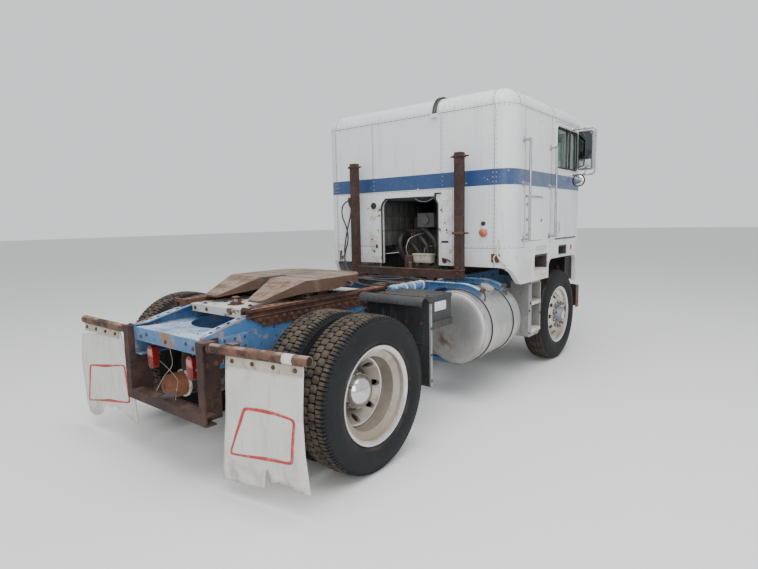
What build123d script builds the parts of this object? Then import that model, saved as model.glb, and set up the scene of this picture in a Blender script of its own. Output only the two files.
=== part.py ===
from build123d import *
import math
import os

# Cab-over semi truck tractor unit with one drive axle. Millimetres.
# X points to the truck's left, Y to its rear, Z up.
# While it is drawn, Y is measured back from the front axle. MIDDLE_Y moves the finished pieces
# so that the origin lies on the ground under the middle of the truck's length.

# Driving dimensions: wheels and axles
WHEELBASE = 3505
TYRE_R = 528
TYRE_HALF_W = 137.5
RIM_R = 312
AXLE_Z = TYRE_R
FRONT_WHEEL_X = 1003.5
REAR_OUTER_X = 1064.5
REAR_INNER_X = 739.5
KINGPIN_X = 885
STEER_ARM_Y = 200
STEER_ARM_Z = 430
DRAG_LINK_X = 620
PITMAN_Y = -380
PITMAN_Z = 930
DRAG_LINK_Z = 665

# Driving dimensions: frame
RAIL_OUT_X = 430
RAIL_TOP_Z = 1050
RAIL_LOW_Z = 745
RAIL_TAPER_Y = 3900
RAIL_TAIL_Z = 962
RAIL_FLANGE = 85
RAIL_WEB = 9
FRAME_FRONT_Y = -600
FRAME_REAR_Y = 4300
TAIL_Y = 4345
BUMPER_FRONT_Y = -800
MIDDLE_Y = (BUMPER_FRONT_Y + TAIL_Y) / 2

# Driving dimensions: cab
CAB_HALF = 1183.5
CAB_BACK_Y = 1501
CAB_FRONT_Y = -660
CAB_BACK_R = 185
CAB_FRONT_R = 310
CAB_TOP_Z = 2884
ROOF_SEAM_Z = 2719
ROOF_R = 160
WALL = 42
FLOOR_Z = 1420
FRONT_SEAM_Y = CAB_FRONT_Y + CAB_FRONT_R
BACK_SEAM_X = 1013
SKIRT_Z = 1020
TUNNEL_HALF = 450
TUNNEL_TOP_Z = 1900
DOGHOUSE_TOP_Z = 1740
DOGHOUSE_REAR_Y = 300
OPENING_X = (-386, 345)
OPENING_TOP_Z = 1900
TILT_Y = -570
TILT_Z = 930
TILT_EAR_X = (470, 510)
TILT_PIN_R = 18

# Driving dimensions: doors and hatches
GAP = 6
DOOR_Y = (FRONT_SEAM_Y + GAP, 445)
DOOR_Z = (1425, 2690)
WINDOW_Y = (-40, 335)
VENT_Y = (-300, -62)
WINDOW_Z = (2210, 2640)
GLASS = 6
HATCH_Y = (720, 1170)
HATCH_Z = (1440, 1880)
DOOR_CORNER_R = 95
HANDLE_Y = (215, 325)
HANDLE_Z = (1490, 1620)
LINER_Y = (-606, 528)
LINER_TOP_Z = 1214
LINER_SHEET = 8

# Driving dimensions: fifth wheel
KINGPIN_LOCK_Y = 3245
PLATE_TOP_Z = 1237
PLATE_PIVOT_Z = 1150
KINGPIN_R = 25.6
SLIDE_TOP_Z = 1092
SLIDE_Y = (2470, 3960)
SLIDE_X = (372, 458)

# Driving dimensions: tanks
TANK_R = 330
TANK_X = 875
TANK_Z = 690
TANK_Y = (1270, 2060)


def block(x, y, z):
    """Box between two values on each axis."""
    size = (x[1] - x[0], y[1] - y[0], z[1] - z[0])
    centre = ((x[0] + x[1]) / 2, (y[0] + y[1]) / 2, (z[0] + z[1]) / 2)
    return Pos(*centre) * Box(*size)


def rod(start, end, radius):
    """Round bar from one point to another."""
    direction = Vector(*end) - Vector(*start)
    return Plane(origin=start, z_dir=direction) * Cylinder(
        radius, direction.length, align=(Align.CENTER, Align.CENTER, Align.MIN))


def along_x(points, x):
    """Prism of an outline in (y, z), between two x values."""
    face = Plane(origin=(x[0], 0, 0), x_dir=(0, 1, 0), z_dir=(1, 0, 0)) * make_face(
        Polyline(*points, close=True).edges())
    return extrude(face, x[1] - x[0])


def along_y(points, y):
    """Prism of an outline in (x, z), between two y values."""
    face = Plane(origin=(0, y[1], 0), x_dir=(1, 0, 0), z_dir=(0, -1, 0)) * make_face(
        Polyline(*points, close=True).edges())
    return extrude(face, y[1] - y[0])


def along_z(points, z):
    """Prism of an outline in (x, y), between two z values."""
    face = Plane.XY.offset(z[0]) * make_face(Polyline(*points, close=True).edges())
    return extrude(face, z[1] - z[0])


def turned_x(profile, centre):
    """Solid of revolution about the X direction through centre; profile is (x, radius)."""
    face = Plane.XZ * make_face(Polyline(*profile, close=True).edges())
    return Pos(*centre) * revolve(face, Axis.X)


def tube(points, radius, bend):
    """Round bar bent through the points, each corner with the same bend radius."""
    path = FilletPolyline(*points, radius=bend)
    section = Plane(origin=path @ 0, z_dir=path % 0) * Circle(radius)
    return sweep(section, path)


def both_sides(shape):
    """The shape and its mirror image on the other side of the truck, as separate solids."""
    return Compound(solids_of(shape) + solids_of(mirror(shape, Plane.YZ)))


def solids_of(*shapes):
    """All solids of the shapes, in one list."""
    return [solid for shape in shapes for solid in shape.solids()]


def group(*shapes):
    """Solids that stay separate in one node."""
    return Compound(solids_of(*shapes))


# Frame


RAIL_HOLES_Y = (3980, 4280, 90)


def frame_rails():
    """Two channels with flanges pointing in, tapered at the tail, and the cab's hinge brackets."""
    top = [(FRAME_FRONT_Y, RAIL_TOP_Z), (RAIL_TAPER_Y, RAIL_TOP_Z), (FRAME_REAR_Y, RAIL_TAIL_Z)]
    under = [(y, z - RAIL_WEB) for y, z in reversed(top)]
    inner = RAIL_OUT_X - RAIL_FLANGE
    side = top + [(FRAME_REAR_Y, RAIL_LOW_Z), (FRAME_FRONT_Y, RAIL_LOW_Z)]
    rail = along_x(side, (RAIL_OUT_X - RAIL_WEB, RAIL_OUT_X))
    rail += along_x(top + under, (inner, RAIL_OUT_X))
    rail += block((inner, RAIL_OUT_X), (FRAME_FRONT_Y, FRAME_REAR_Y), (RAIL_LOW_Z, RAIL_LOW_Z + RAIL_WEB))
    hole_x = RAIL_OUT_X - RAIL_FLANGE / 2
    for hole_y in range(*RAIL_HOLES_Y):
        rail -= rod((hole_x, hole_y, RAIL_TAIL_Z - 2 * RAIL_WEB), (hole_x, hole_y, RAIL_TOP_Z + 1), 8)
    end = FRAME_REAR_Y + 1
    pointed = [(inner - 1, end - 75), (inner - 1, end), (RAIL_OUT_X - 20, end)]
    rail -= along_z(pointed, (RAIL_LOW_Z + 2 * RAIL_WEB, RAIL_TOP_Z))
    return group(both_sides(rail), cab_hinges())


CROSSMEMBER_Y = (-560, 2050, 2420, 2960)
CROSSMEMBER_Z = (830, 950)


def crossmembers():
    """Channels between the rails' webs, open to the rear, and the plate across the tail."""
    half = RAIL_OUT_X - RAIL_WEB
    low, high = CROSSMEMBER_Z
    members = []
    for y in CROSSMEMBER_Y:
        profile = [(y, low), (y, high), (y + 70, high), (y + 70, high - 8), (y + 8, high - 8),
                   (y + 8, low + 8), (y + 70, low + 8), (y + 70, low)]
        members.append(along_x(profile, (-half, half)))
    return group(*members, tail_crossmember())


TAIL_PLATE_Y = (3640, 4292)
TAIL_PLATE_Z = (938, 946)
TAIL_FOLD_LOW_Z = 850
TAIL_CUT_R = 330
TAIL_CUT_REAR_Y = 4050


def tail_crossmember():
    """Gusset plate between the webs with a large rounded cut-out, folded down across the rear."""
    half = RAIL_OUT_X - RAIL_WEB
    low, top = TAIL_PLATE_Z
    plate = block((-half, half), TAIL_PLATE_Y, TAIL_PLATE_Z)
    centre_y = TAIL_CUT_REAR_Y - TAIL_CUT_R
    plate -= rod((0, centre_y, low - 1), (0, centre_y, top + 1), TAIL_CUT_R)
    plate -= block((-TAIL_CUT_R, TAIL_CUT_R), (TAIL_PLATE_Y[0] - 1, centre_y), (low - 1, top + 1))
    return plate + block((-half, half), (TAIL_PLATE_Y[1], FRAME_REAR_Y), (TAIL_FOLD_LOW_Z, top))


TAIL_POST_X = (RAIL_OUT_X, 500)
TAIL_POST_Z = (430, 950)
TAIL_POST_FRONT_Y = 4185
TAIL_SHEET = 10
TAIL_CHANNEL_Y = (TAIL_Y - 75, TAIL_Y)
TAIL_CHANNEL_Z = (420, 490)


def tail_frame():
    """Rusty hanging frame behind the rails: two angle posts, a channel across their feet and flap bars."""
    web = TAIL_POST_X[0] + TAIL_SHEET
    post = block((TAIL_POST_X[0], web), (TAIL_POST_FRONT_Y, TAIL_Y), TAIL_POST_Z)
    post += block((TAIL_POST_X[0], TAIL_POST_X[1]), (TAIL_Y - TAIL_SHEET, TAIL_Y), TAIL_POST_Z)
    front, rear = TAIL_CHANNEL_Y
    low, top = TAIL_CHANNEL_Z
    channel = block((-TAIL_POST_X[1], TAIL_POST_X[1]), TAIL_CHANNEL_Y, TAIL_CHANNEL_Z)
    channel -= block((-TAIL_POST_X[1], TAIL_POST_X[1]), (front - 1, rear - TAIL_SHEET),
                     (low + TAIL_SHEET, top - TAIL_SHEET))
    return group(channel + post + mirror(post, Plane.YZ), mudflap_bars())


FLAP_BAR_Z = 915
FLAP_BAR_R = 30
FLAP_BAR_Y = 4302
FLAP_BAR_END_X = 1245
FLAP_BAR_SWEPT_Y = 4165


def mudflap_bars():
    """Pipes that carry the mud flaps; the right one is bent forward."""
    start_x = TAIL_POST_X[0] + TAIL_SHEET
    left = rod((start_x, FLAP_BAR_Y, FLAP_BAR_Z), (FLAP_BAR_END_X, FLAP_BAR_Y, FLAP_BAR_Z), FLAP_BAR_R)
    right = rod((-start_x + 60, FLAP_BAR_Y + 10, FLAP_BAR_Z),
                (-FLAP_BAR_END_X, FLAP_BAR_SWEPT_Y, FLAP_BAR_Z), FLAP_BAR_R)
    right -= block((-start_x, 0), (4000, 4500), (800, 1000))
    return group(left, right)


FLAP_THICK = 8
FLAP_TOP_Z = FLAP_BAR_Z - FLAP_BAR_R


def mud_flaps():
    """Hanging flaps, torn along the bottom, under their bars."""
    left_outline = [(640, FLAP_TOP_Z), (1240, FLAP_TOP_Z), (1240, 420), (1215, 300), (1150, 265),
                    (900, 235), (760, 250), (640, 215)]
    left = along_y(left_outline, (FLAP_BAR_Y - 4, FLAP_BAR_Y + 4))
    right_outline = [(-610, FLAP_TOP_Z), (-1238, FLAP_TOP_Z), (-1262, 150), (-1180, 128),
                     (-1090, 205), (-960, 190), (-610, 205)]
    right = along_y(right_outline, (-FLAP_THICK / 2, FLAP_THICK / 2))
    swing = math.degrees(math.atan2(FLAP_BAR_Y - FLAP_BAR_SWEPT_Y, FLAP_BAR_END_X - TAIL_POST_X[0]))
    pivot = (-TAIL_POST_X[0], FLAP_BAR_Y + 4, 0)
    right = Pos(*pivot) * Rot(0, 0, swing) * Pos(TAIL_POST_X[0], 0, 0) * right
    return group(left, right)


def cab_hinges():
    """Brackets bolted to the rails' front ends, with the pins that the cab tilts on."""
    plate = block((RAIL_OUT_X, RAIL_OUT_X + 16), (TILT_Y - 38, TILT_Y + 60), (TILT_Z - 60, TILT_Z + 60))
    plate += rod((RAIL_OUT_X + 15, TILT_Y, TILT_Z), (TILT_EAR_X[1] + 12, TILT_Y, TILT_Z), TILT_PIN_R)
    return both_sides(plate)


def bumper():
    """Plain steel bumper with swept ends."""
    z = (520, 800)
    half = 1120
    outline = [(-half, -625), (-half, -720), (-1010, BUMPER_FRONT_Y), (1010, BUMPER_FRONT_Y), (half, -720),
               (half, -625), (half - 10, -625), (half - 10, -715), (1005, -790), (-1005, -790),
               (10 - half, -715), (10 - half, -625)]
    face = along_z(outline, z)
    horn = block((330, 430), (-790, FRAME_FRONT_Y), (RAIL_LOW_Z, 795))
    return face + horn + mirror(horn, Plane.YZ)


# Running gear


def tyre(centre_x, centre_y):
    """Road tyre: crowned tread, round shoulders, bulged walls and beads on the rim seat."""
    bead_x = 104
    profile = [(-bead_x, RIM_R), (-bead_x, 334), (-bead_x - 16, 352)]
    wall = [(-TYRE_HALF_W, 425)]
    shoulder = [(-124, 492), (-110, 518), (-80, 526)]
    half = profile + wall + shoulder + [(0, TYRE_R)]
    other = [(-x, radius) for x, radius in reversed(half[:-1])]
    return turned_x(half + other, (centre_x, centre_y, AXLE_Z))


def rim_wheel(disc, holes, hole_r, hole_ring):
    """Disc wheel about the X direction: dropped rim, disc by its (x, radius) outline and hand holes."""
    lip, seat, well = 332, RIM_R, 262
    outer = [(-116, lip - 8), (-116, lip), (-104, lip), (-104, seat), (-70, seat - 4), (-45, well),
             (45, well), (70, seat - 4), (104, seat), (104, lip), (116, lip), (116, lip - 8)]
    inner = [(112, lip - 16), (104, seat - 12), (74, seat - 16), (50, well - 12),
             (-50, well - 12), (-74, seat - 16), (-104, seat - 12), (-112, lip - 16)]
    wheel = turned_x(outer + inner, (0, 0, 0))
    wheel += turned_x(disc, (0, 0, 0))
    for index in range(holes):
        angle = 2 * math.pi * index / holes
        y = hole_ring * math.cos(angle)
        z = hole_ring * math.sin(angle)
        wheel -= rod((-200, y, z), (200, y, z), hole_r)
    return wheel


FRONT_DISC_X = 100
FRONT_DISC = [(94, 105), (106, 105), (106, 175), (102, 205), (48, 256), (32, 256), (90, 205), (94, 175)]
FRONT_HUB = [(-28, 0), (-28, 88), (FRONT_DISC_X - 20, 88), (FRONT_DISC_X - 20, 110),
             (FRONT_DISC_X + 14, 110), (FRONT_DISC_X + 14, 88),
             (FRONT_DISC_X + 60, 70), (FRONT_DISC_X + 66, 0)]
FRONT_DRUM = [(-70, 190), (-70, 206), (62, 206), (62, 80), (48, 80), (48, 190)]
SPINDLE_R = 38
STUDS = 10
STUD_RING = 143
STUD_R = 16


def nuts(x, length):
    """Ring of wheel nuts standing out along X."""
    ring = []
    for index in range(STUDS):
        angle = 2 * math.pi * (index + 0.5) / STUDS
        y = STUD_RING * math.cos(angle)
        z = STUD_RING * math.sin(angle)
        ring.append(rod((x, y, z), (x + length, y, z), STUD_R))
    return ring


def front_wheel(side):
    """Polished disc wheel with hub and nuts, drum behind; side is 1 on the left."""
    wheel = rim_wheel(FRONT_DISC, 10, 24, 218)
    wheel += turned_x(FRONT_HUB, (0, 0, 0)) + turned_x(FRONT_DRUM, (0, 0, 0))
    for nut in nuts(FRONT_DISC_X + 6, 28):
        wheel += nut
    bore = rod((-29, 0, 0), (20, 0, 0), SPINDLE_R + 0.05)
    wheel -= bore
    placed = wheel if side > 0 else mirror(wheel, Plane.YZ)
    return Pos(side * FRONT_WHEEL_X, 0, AXLE_Z) * placed


REAR_DISC = [(-148, 100), (-148, 160), (-54, 222), (-45, 234), (-50, 246), (-60, 284), (-66, 286),
             (-63, 250), (-59, 239), (-64, 232), (-160, 170), (-160, 100)]
REAR_DOME_X = 118
REAR_DOME_R = 98
REAR_HUB = [(-40, 0), (-40, 110), (64, 110), (70, REAR_DOME_R)] + [
    (REAR_DOME_X + 68 * math.sin(math.radians(turn)), REAR_DOME_R * math.cos(math.radians(turn)))
    for turn in range(0, 91, 15)]


def rear_wheels(side):
    """Twin disc wheels back to back on one hub, the outer one dished deep."""
    middle_x = (REAR_INNER_X + REAR_OUTER_X) / 2
    wheel = rim_wheel(REAR_DISC, 8, 23, 200)
    pair = Pos(REAR_OUTER_X, 0, 0) * wheel + Pos(REAR_INNER_X, 0, 0) * mirror(wheel, Plane.YZ)
    pair += turned_x(REAR_HUB, (middle_x, 0, 0))
    pair -= rod((middle_x - 41, 0, 0), (middle_x + 10, 0, 0), 60)
    placed = pair if side > 0 else mirror(pair, Plane.YZ)
    return Pos(0, WHEELBASE, AXLE_Z) * placed


def rear_tyres(side):
    """The two tyres of one end of the drive axle."""
    return group(tyre(side * REAR_OUTER_X, WHEELBASE), tyre(side * REAR_INNER_X, WHEELBASE))


BEAM_HALF_Y = 45


def front_axle():
    """Forged I-beam, dropped in the middle, with an eye for each kingpin."""
    top = [(-KINGPIN_X, 570), (-760, 520), (-560, 470), (560, 470), (760, 520), (KINGPIN_X, 570)]
    low = [(KINGPIN_X, 486), (740, 430), (540, 370), (-540, 370), (-740, 430), (-KINGPIN_X, 486)]
    beam = along_y(top + low, (-BEAM_HALF_Y, BEAM_HALF_Y))
    pocket = [(-700, 470), (-540, 440), (540, 440), (700, 470), (690, 440), (530, 400),
              (-530, 400), (-690, 440)]
    for face_y in ((-BEAM_HALF_Y - 1, -14), (14, BEAM_HALF_Y + 1)):
        beam -= along_y(pocket, face_y)
    for side in (-1, 1):
        x = side * KINGPIN_X
        beam -= block((x - 56, x + 56), (-60, 60), (560, 600))
        beam += rod((x, 0, 486), (x, 0, 560), 44)
    for side in (-1, 1):
        x = side * KINGPIN_X
        beam -= block(sorted((side * (KINGPIN_X - 56), side * (KINGPIN_X + 80))), (-60, 60), (300, 486))
        beam -= rod((x, 0, 400), (x, 0, 700), 22.05)
    pad = block((375, 465), (-70, 70), (470, 500))
    return beam + pad + mirror(pad, Plane.YZ)


def knuckle(side):
    """Steering knuckle: yoke round the axle's eye, pin, spindle and its arms."""
    x = KINGPIN_X
    upper = rod((x, 0, 566), (x, 0, 634), 46)
    lower = rod((x, 0, 420), (x, 0, 480), 46)
    pin = rod((x, 0, 420), (x, 0, 634), 22)
    bridge = block((x + 52, x + 84), (-60, 60), (420, 634))
    web_up = block((x, x + 60), (-44, 44), (566, 634))
    web_low = block((x, x + 60), (-44, 44), (420, 480))
    body = upper + lower + pin + bridge + web_up + web_low
    body += rod((x + 84, 0, AXLE_Z), (FRONT_WHEEL_X + 15, 0, AXLE_Z), SPINDLE_R)
    arm_z = (STEER_ARM_Z - 10, STEER_ARM_Z + 24)
    body += block((x - 22, x + 22), (0, STEER_ARM_Y), arm_z)
    body += rod((x, STEER_ARM_Y, arm_z[0]), (x, STEER_ARM_Y, arm_z[1]), 26)
    if side > 0:
        body += block((DRAG_LINK_X, x), (-20, 20), (610, 634))
        body += rod((DRAG_LINK_X, 0, 610), (DRAG_LINK_X, 0, 634), 26)
        return body
    return mirror(body, Plane.YZ)


def tie_rod():
    """Tube between the two rearward arms, its ends under them."""
    z = STEER_ARM_Z - 42
    bar = rod((-KINGPIN_X, STEER_ARM_Y, z), (KINGPIN_X, STEER_ARM_Y, z), 19)
    for side in (-1, 1):
        x = side * KINGPIN_X
        bar += rod((x, STEER_ARM_Y, z - 24), (x, STEER_ARM_Y, z + 24), 27)
    return bar


def steering_gear():
    """Steering box on the left rail, with its shaft stub towards the arm."""
    box = block((RAIL_OUT_X, 560), (PITMAN_Y - 80, PITMAN_Y + 80), (PITMAN_Z - 100, PITMAN_Z + 110))
    box += rod((500, PITMAN_Y, PITMAN_Z + 100), (500, PITMAN_Y, PITMAN_Z + 170), 45)
    return box + rod((560, PITMAN_Y, PITMAN_Z), (594, PITMAN_Y, PITMAN_Z), 34)


def pitman_arm():
    """Arm that hangs from the steering box."""
    arm = rod((600, PITMAN_Y, PITMAN_Z), (640, PITMAN_Y, PITMAN_Z), 40)
    arm += block((606, 634), (PITMAN_Y - 24, PITMAN_Y + 24), (DRAG_LINK_Z + 48, PITMAN_Z))
    return arm + rod((DRAG_LINK_X, PITMAN_Y, DRAG_LINK_Z + 28), (DRAG_LINK_X, PITMAN_Y, DRAG_LINK_Z + 50), 6)


def drag_link():
    """Rod from the pitman arm's end back to the left knuckle's arm."""
    bar = rod((DRAG_LINK_X, PITMAN_Y, DRAG_LINK_Z), (DRAG_LINK_X, 0, DRAG_LINK_Z), 17)
    bar += Pos(DRAG_LINK_X, PITMAN_Y, DRAG_LINK_Z) * Sphere(24)
    return bar + rod((DRAG_LINK_X, 0, 641), (DRAG_LINK_X, 0, 690), 25)


REAR_TUBE_R = 72
CHAMBER_X = 455
CHAMBER_Z = 425


def rear_axle():
    """Drive axle: round centre bowl, pinion nose, tubes, spindles and two brake chambers."""
    y = WHEELBASE
    tube_half = REAR_INNER_X + 60
    axle = rod((-tube_half, y, AXLE_Z), (tube_half, y, AXLE_Z), REAR_TUBE_R)
    bowl = Pos(0, y, AXLE_Z) * Sphere(215)
    bowl -= block((-300, 300), (y + 130, y + 300), (200, 900))
    bowl -= block((-300, -150), (y - 300, y + 300), (200, 900))
    bowl -= block((150, 300), (y - 300, y + 300), (200, 900))
    axle += bowl
    axle += rod((0, y - 400, AXLE_Z + 70), (0, y - 100, AXLE_Z + 20), 85)
    spindle_end = (REAR_INNER_X + REAR_OUTER_X) / 2 - 5
    for side in (-1, 1):
        axle += rod((0, y, AXLE_Z), (side * spindle_end, y, AXLE_Z), 56)
        x = side * CHAMBER_X
        axle += rod((x, y + 250, CHAMBER_Z + 20), (x, y + 530, CHAMBER_Z), 88)
        axle += block((x - 30, x + 30), (y + 20, y + 300), (CHAMBER_Z - 10, CHAMBER_Z + 60))
    return axle


def leaf_springs():
    """Leaf packs with eyes: the front pair under the rails, the rear pair outside them."""
    packs = []
    rows = [
        # x centre, y centre, half length, leaf half width, top z, leaves, leaf thickness
        (420, 0, 560, 38, 600, 6, 14),
        (500, WHEELBASE, 620, 38, 760, 9, 15),
    ]
    for x, y, half, width, top, leaves, thick in rows:
        pack = block((x - width, x + width), (y - 60, y + 60), (top - leaves * thick, top))
        for leaf in range(leaves):
            reach = half * (1 - leaf / (leaves + 1.5))
            z1 = top - leaf * thick
            rise = 70 * (reach / half) ** 2
            outline = [(y - reach, z1 + rise), (y, z1), (y + reach, z1 + rise),
                       (y + reach, z1 + rise - thick), (y, z1 - thick), (y - reach, z1 + rise - thick)]
            pack += along_x(outline, (x - width, x + width))
        for end in (-1, 1):
            eye_y = y + end * half
            pack += rod((x - width, eye_y, top + 62), (x + width, eye_y, top + 62), 30)
            hanger_top = RAIL_LOW_Z if x < 450 else RAIL_TOP_Z - 140
            pack += block((x - width, x + width), (eye_y - 28, eye_y + 28), (top + 62, hanger_top))
        if x < 450:
            pack += block((x - 40, x + 40), (-60, 60), (500, top - leaves * thick + 1))
        else:
            pack += block((x - 40, x + 40), (y - 60, y + 60), (AXLE_Z + 40, top - leaves * thick + 1))
            for end in (-1, 1):
                pack += block((RAIL_OUT_X, x), (y + end * half - 28, y + end * half + 28), (770, 850))
            pack -= rod((0, y, AXLE_Z), (REAR_OUTER_X, y, AXLE_Z), REAR_TUBE_R)
        packs.append(pack)
    return group(*[both_sides(pack) for pack in packs])


def engine():
    """Engine as a plain block with its cover, flywheel housing and gearbox."""
    body = block((-290, 290), (120, 1150), (700, 1560))
    body += block((-200, 200), (180, 1080), (1560, 1690))
    body += block((-230, 230), (250, 1000), (600, 700))
    body += rod((0, 1150, 880), (0, 1330, 880), 260)
    body += block((-180, 180), (1330, 1760), (690, 1000))
    return body


def radiator():
    """Radiator standing across the rails behind the grille."""
    return block((-385, 385), (-520, -420), (RAIL_TOP_Z, 1610)) + block(
        (-330, 330), (-420, 40), (1000, 1480)) - block((-300, 300), (-421, 41), (1030, 1450))


def driveshaft():
    """Propeller shaft from the gearbox to the axle's pinion."""
    start = (0, 1780, 800)
    end = (0, WHEELBASE - 420, AXLE_Z + 75)
    shaft = rod(start, end, 48)
    shaft += rod((0, 1760, 800), (0, 1830, 800), 70)
    return shaft


# Things on the frame


def fuel_tanks():
    """Round tank on each side, with domed heads."""
    head = 55
    y0, y1 = TANK_Y
    knuckle_r = 0.82 * TANK_R
    profile = [(y0, 0), (y0 + 12, knuckle_r * 0.6), (y0 + 30, knuckle_r), (y0 + head, TANK_R),
               (y1 - head, TANK_R), (y1 - 30, knuckle_r), (y1 - 12, knuckle_r * 0.6), (y1, 0)]
    face = Plane.XY * make_face(Polyline(*[(radius, y) for y, radius in profile], close=True).edges())
    return both_sides(Pos(TANK_X, 0, TANK_Z) * revolve(face, Axis.Y))


BRACKET_Y = (1440, 1880)
ARM_HOLE_X = (520, 640, 760)
ARM_END_DEG = 33


def tank_brackets():
    """At each strap: a band, a cradle under the tank and a ribbed arm curving over its top."""
    arms = []
    inner = TANK_R + 8
    rail_z = (TANK_Z + inner + 0.5, TANK_Z + inner + 52)
    for y in BRACKET_Y:
        centre = ((TANK_X, y - 30, TANK_Z), (TANK_X, y + 30, TANK_Z))
        band = rod(*centre, inner) - rod((TANK_X, y - 31, TANK_Z), (TANK_X, y + 31, TANK_Z), TANK_R + 0.4)
        wedge = along_y([(TANK_X, TANK_Z), (TANK_X, TANK_Z + 600), (TANK_X + 420, TANK_Z + 600)],
                        (y - 40, y + 40))
        flange = rod(*centre, inner + 52)
        flange -= rod((TANK_X, y - 31, TANK_Z), (TANK_X, y + 31, TANK_Z), inner + 44)
        web = rod((TANK_X, y - 4, TANK_Z), (TANK_X, y + 4, TANK_Z), inner + 50)
        web -= rod((TANK_X, y - 5, TANK_Z), (TANK_X, y + 5, TANK_Z), inner - 1)
        arm = (flange + web) & wedge
        arm += block((RAIL_OUT_X, TANK_X + 1), (y - 4, y + 4), rail_z)
        arm += block((RAIL_OUT_X, TANK_X + 1), (y - 30, y + 30), (rail_z[1] - 8, rail_z[1]))
        gusset = [(RAIL_OUT_X, rail_z[0] + 1), (RAIL_OUT_X, 880), (RAIL_OUT_X + 200, rail_z[0] + 1)]
        arm += along_y(gusset, (y - 4, y + 4))
        for hole_x in ARM_HOLE_X:
            arm -= rod((hole_x, y - 5, rail_z[0] + 20), (hole_x, y + 5, rail_z[0] + 20), 11)
        end = math.radians(ARM_END_DEG)
        bolt = [(TANK_X + r * math.sin(end), y, TANK_Z + r * math.cos(end)) for r in (inner, inner + 70)]
        arm += rod(*bolt, 14)
        leg = block((RAIL_OUT_X, RAIL_OUT_X + 12), (y - 45, y + 45), (710, rail_z[1]))
        foot = block((RAIL_OUT_X, TANK_X), (y - 28, y + 28), (TANK_Z - TANK_R - 44, TANK_Z - TANK_R - 4))
        drop = block((RAIL_OUT_X, RAIL_OUT_X + 60), (y - 28, y + 28), (TANK_Z - TANK_R - 44, 715))
        arms.append(band + arm + leg + foot + drop)
    return group(*[both_sides(arm) for arm in arms])


def battery_box():
    """Closed box with a lipped lid on a blue tray, on the right rail ahead of the fender."""
    tray = block((-1060, -RAIL_OUT_X), (2350, 2700), (800, 858))
    box = block((-1050, -540), (2360, 2690), (858, 1060))
    lid = fillet(block((-1058, -532), (2354, 2697), (1030, 1066)).edges().filter_by(Axis.Z), 18)
    return tray + box + lid


FENDER_Y = 2860
FENDER_TOP_Z = 1100


def rear_fenders():
    """Quarter fender ahead of each pair of rear tyres, rolled at the top, with a bar to the rail."""
    x = (560, 1165)
    sheet = block(x, (FENDER_Y - 4, FENDER_Y + 4), (410, FENDER_TOP_Z - 60))
    roll_y = FENDER_Y + 56
    roll_z = FENDER_TOP_Z - 60
    roll = rod((x[0], roll_y, roll_z), (x[1], roll_y, roll_z), 60)
    roll -= rod((x[0] - 1, roll_y, roll_z), (x[1] + 1, roll_y, roll_z), 52)
    roll -= block((x[0] - 1, x[1] + 1), (FENDER_Y - 20, FENDER_Y + 200), (900, roll_z))
    bar = block((RAIL_OUT_X, 1150), (FENDER_Y - 34, FENDER_Y - 4), (870, 910))
    strip = block((x[1], x[1] + 15), (FENDER_Y - 6, FENDER_Y + 6), (410, FENDER_TOP_Z - 50))
    return both_sides(sheet + roll + bar + strip)


STEP_X = (930, 1130)
STEP_Y = (600, 930)
STEP_Z = (420, 1005)
STEP_OPENING_Z = ((470, 765), (790, 985))


def cab_steps():
    """Grey ladder box with two openings, hung from the rail beside the front wheel."""
    sheet = 8
    outline = [(STEP_Y[0], STEP_Z[1]), (STEP_Y[0], STEP_Z[0] + 60), (STEP_Y[0] + 60, STEP_Z[0]),
               (STEP_Y[1] - 22, STEP_Z[0]), (STEP_Y[1], STEP_Z[0] + 22), (STEP_Y[1], STEP_Z[1])]
    box = along_x(outline, STEP_X)
    inside_x = (STEP_X[0] + sheet, STEP_X[1] + 1)
    for z in STEP_OPENING_Z:
        hole = block(inside_x, (STEP_Y[0] + 22, STEP_Y[1] - 80), z)
        box -= fillet(hole.edges().filter_by(Axis.X), 14)
    box -= block((STEP_X[0] + sheet, STEP_X[1] - sheet), (STEP_Y[1] - 72, STEP_Y[1] - sheet), (450, 995))
    bar = block((RAIL_OUT_X, STEP_X[0]), (STEP_Y[1] - 60, STEP_Y[1] - 10), (880, 930))
    return both_sides(box + bar)


POST_X_RIGHT = -705
POST_X_LEFT = 630
POST_Y = 1620
POST_HALF = 38
POST_TOP_Z = 2300
BEAM_Z = (1085, 1165)
HOSE_CLAMP_X = 700
HOSE_CLAMP_Z = (1860, 1930)
DECK_HOSE_Z = RAIL_TOP_Z + 38


def stack_posts():
    """Square tube posts on a crossbeam behind the cab, with small clamps near their tops."""
    y = (POST_Y - POST_HALF, POST_Y + POST_HALF)
    beam = block((POST_X_RIGHT - POST_HALF, POST_X_LEFT + POST_HALF), y, BEAM_Z)
    for side in (-1, 1):
        beam += block((side * 388 - 40, side * 388 + 40), y, (RAIL_TOP_Z, BEAM_Z[0]))
    for x in (POST_X_RIGHT, POST_X_LEFT):
        post = block((x - POST_HALF, x + POST_HALF), y, (BEAM_Z[1] - 1, POST_TOP_Z))
        post -= block((x - POST_HALF + 5, x + POST_HALF - 5), (y[0] + 5, y[1] - 5), (2000, POST_TOP_Z + 1))
        post += rod((x - 100, POST_Y, 2262), (x + 95, POST_Y, 2262), 8)
        post += block((x - 48, x + 48), (y[0] - 10, y[1] + 10), (2255, 2272))
        beam += post
    beam += block((POST_X_LEFT + POST_HALF - 1, HOSE_CLAMP_X), (y[0] - 18, y[1] + 2), HOSE_CLAMP_Z)
    rail_top_fitting = block((400, 430), (1735, 1815), (RAIL_TOP_Z, DECK_HOSE_Z + 18))
    rear_fitting = block((375, 405), (2382, 2415), (RAIL_TOP_Z, DECK_HOSE_Z))
    return group(beam, rail_top_fitting, rear_fitting)


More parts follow.
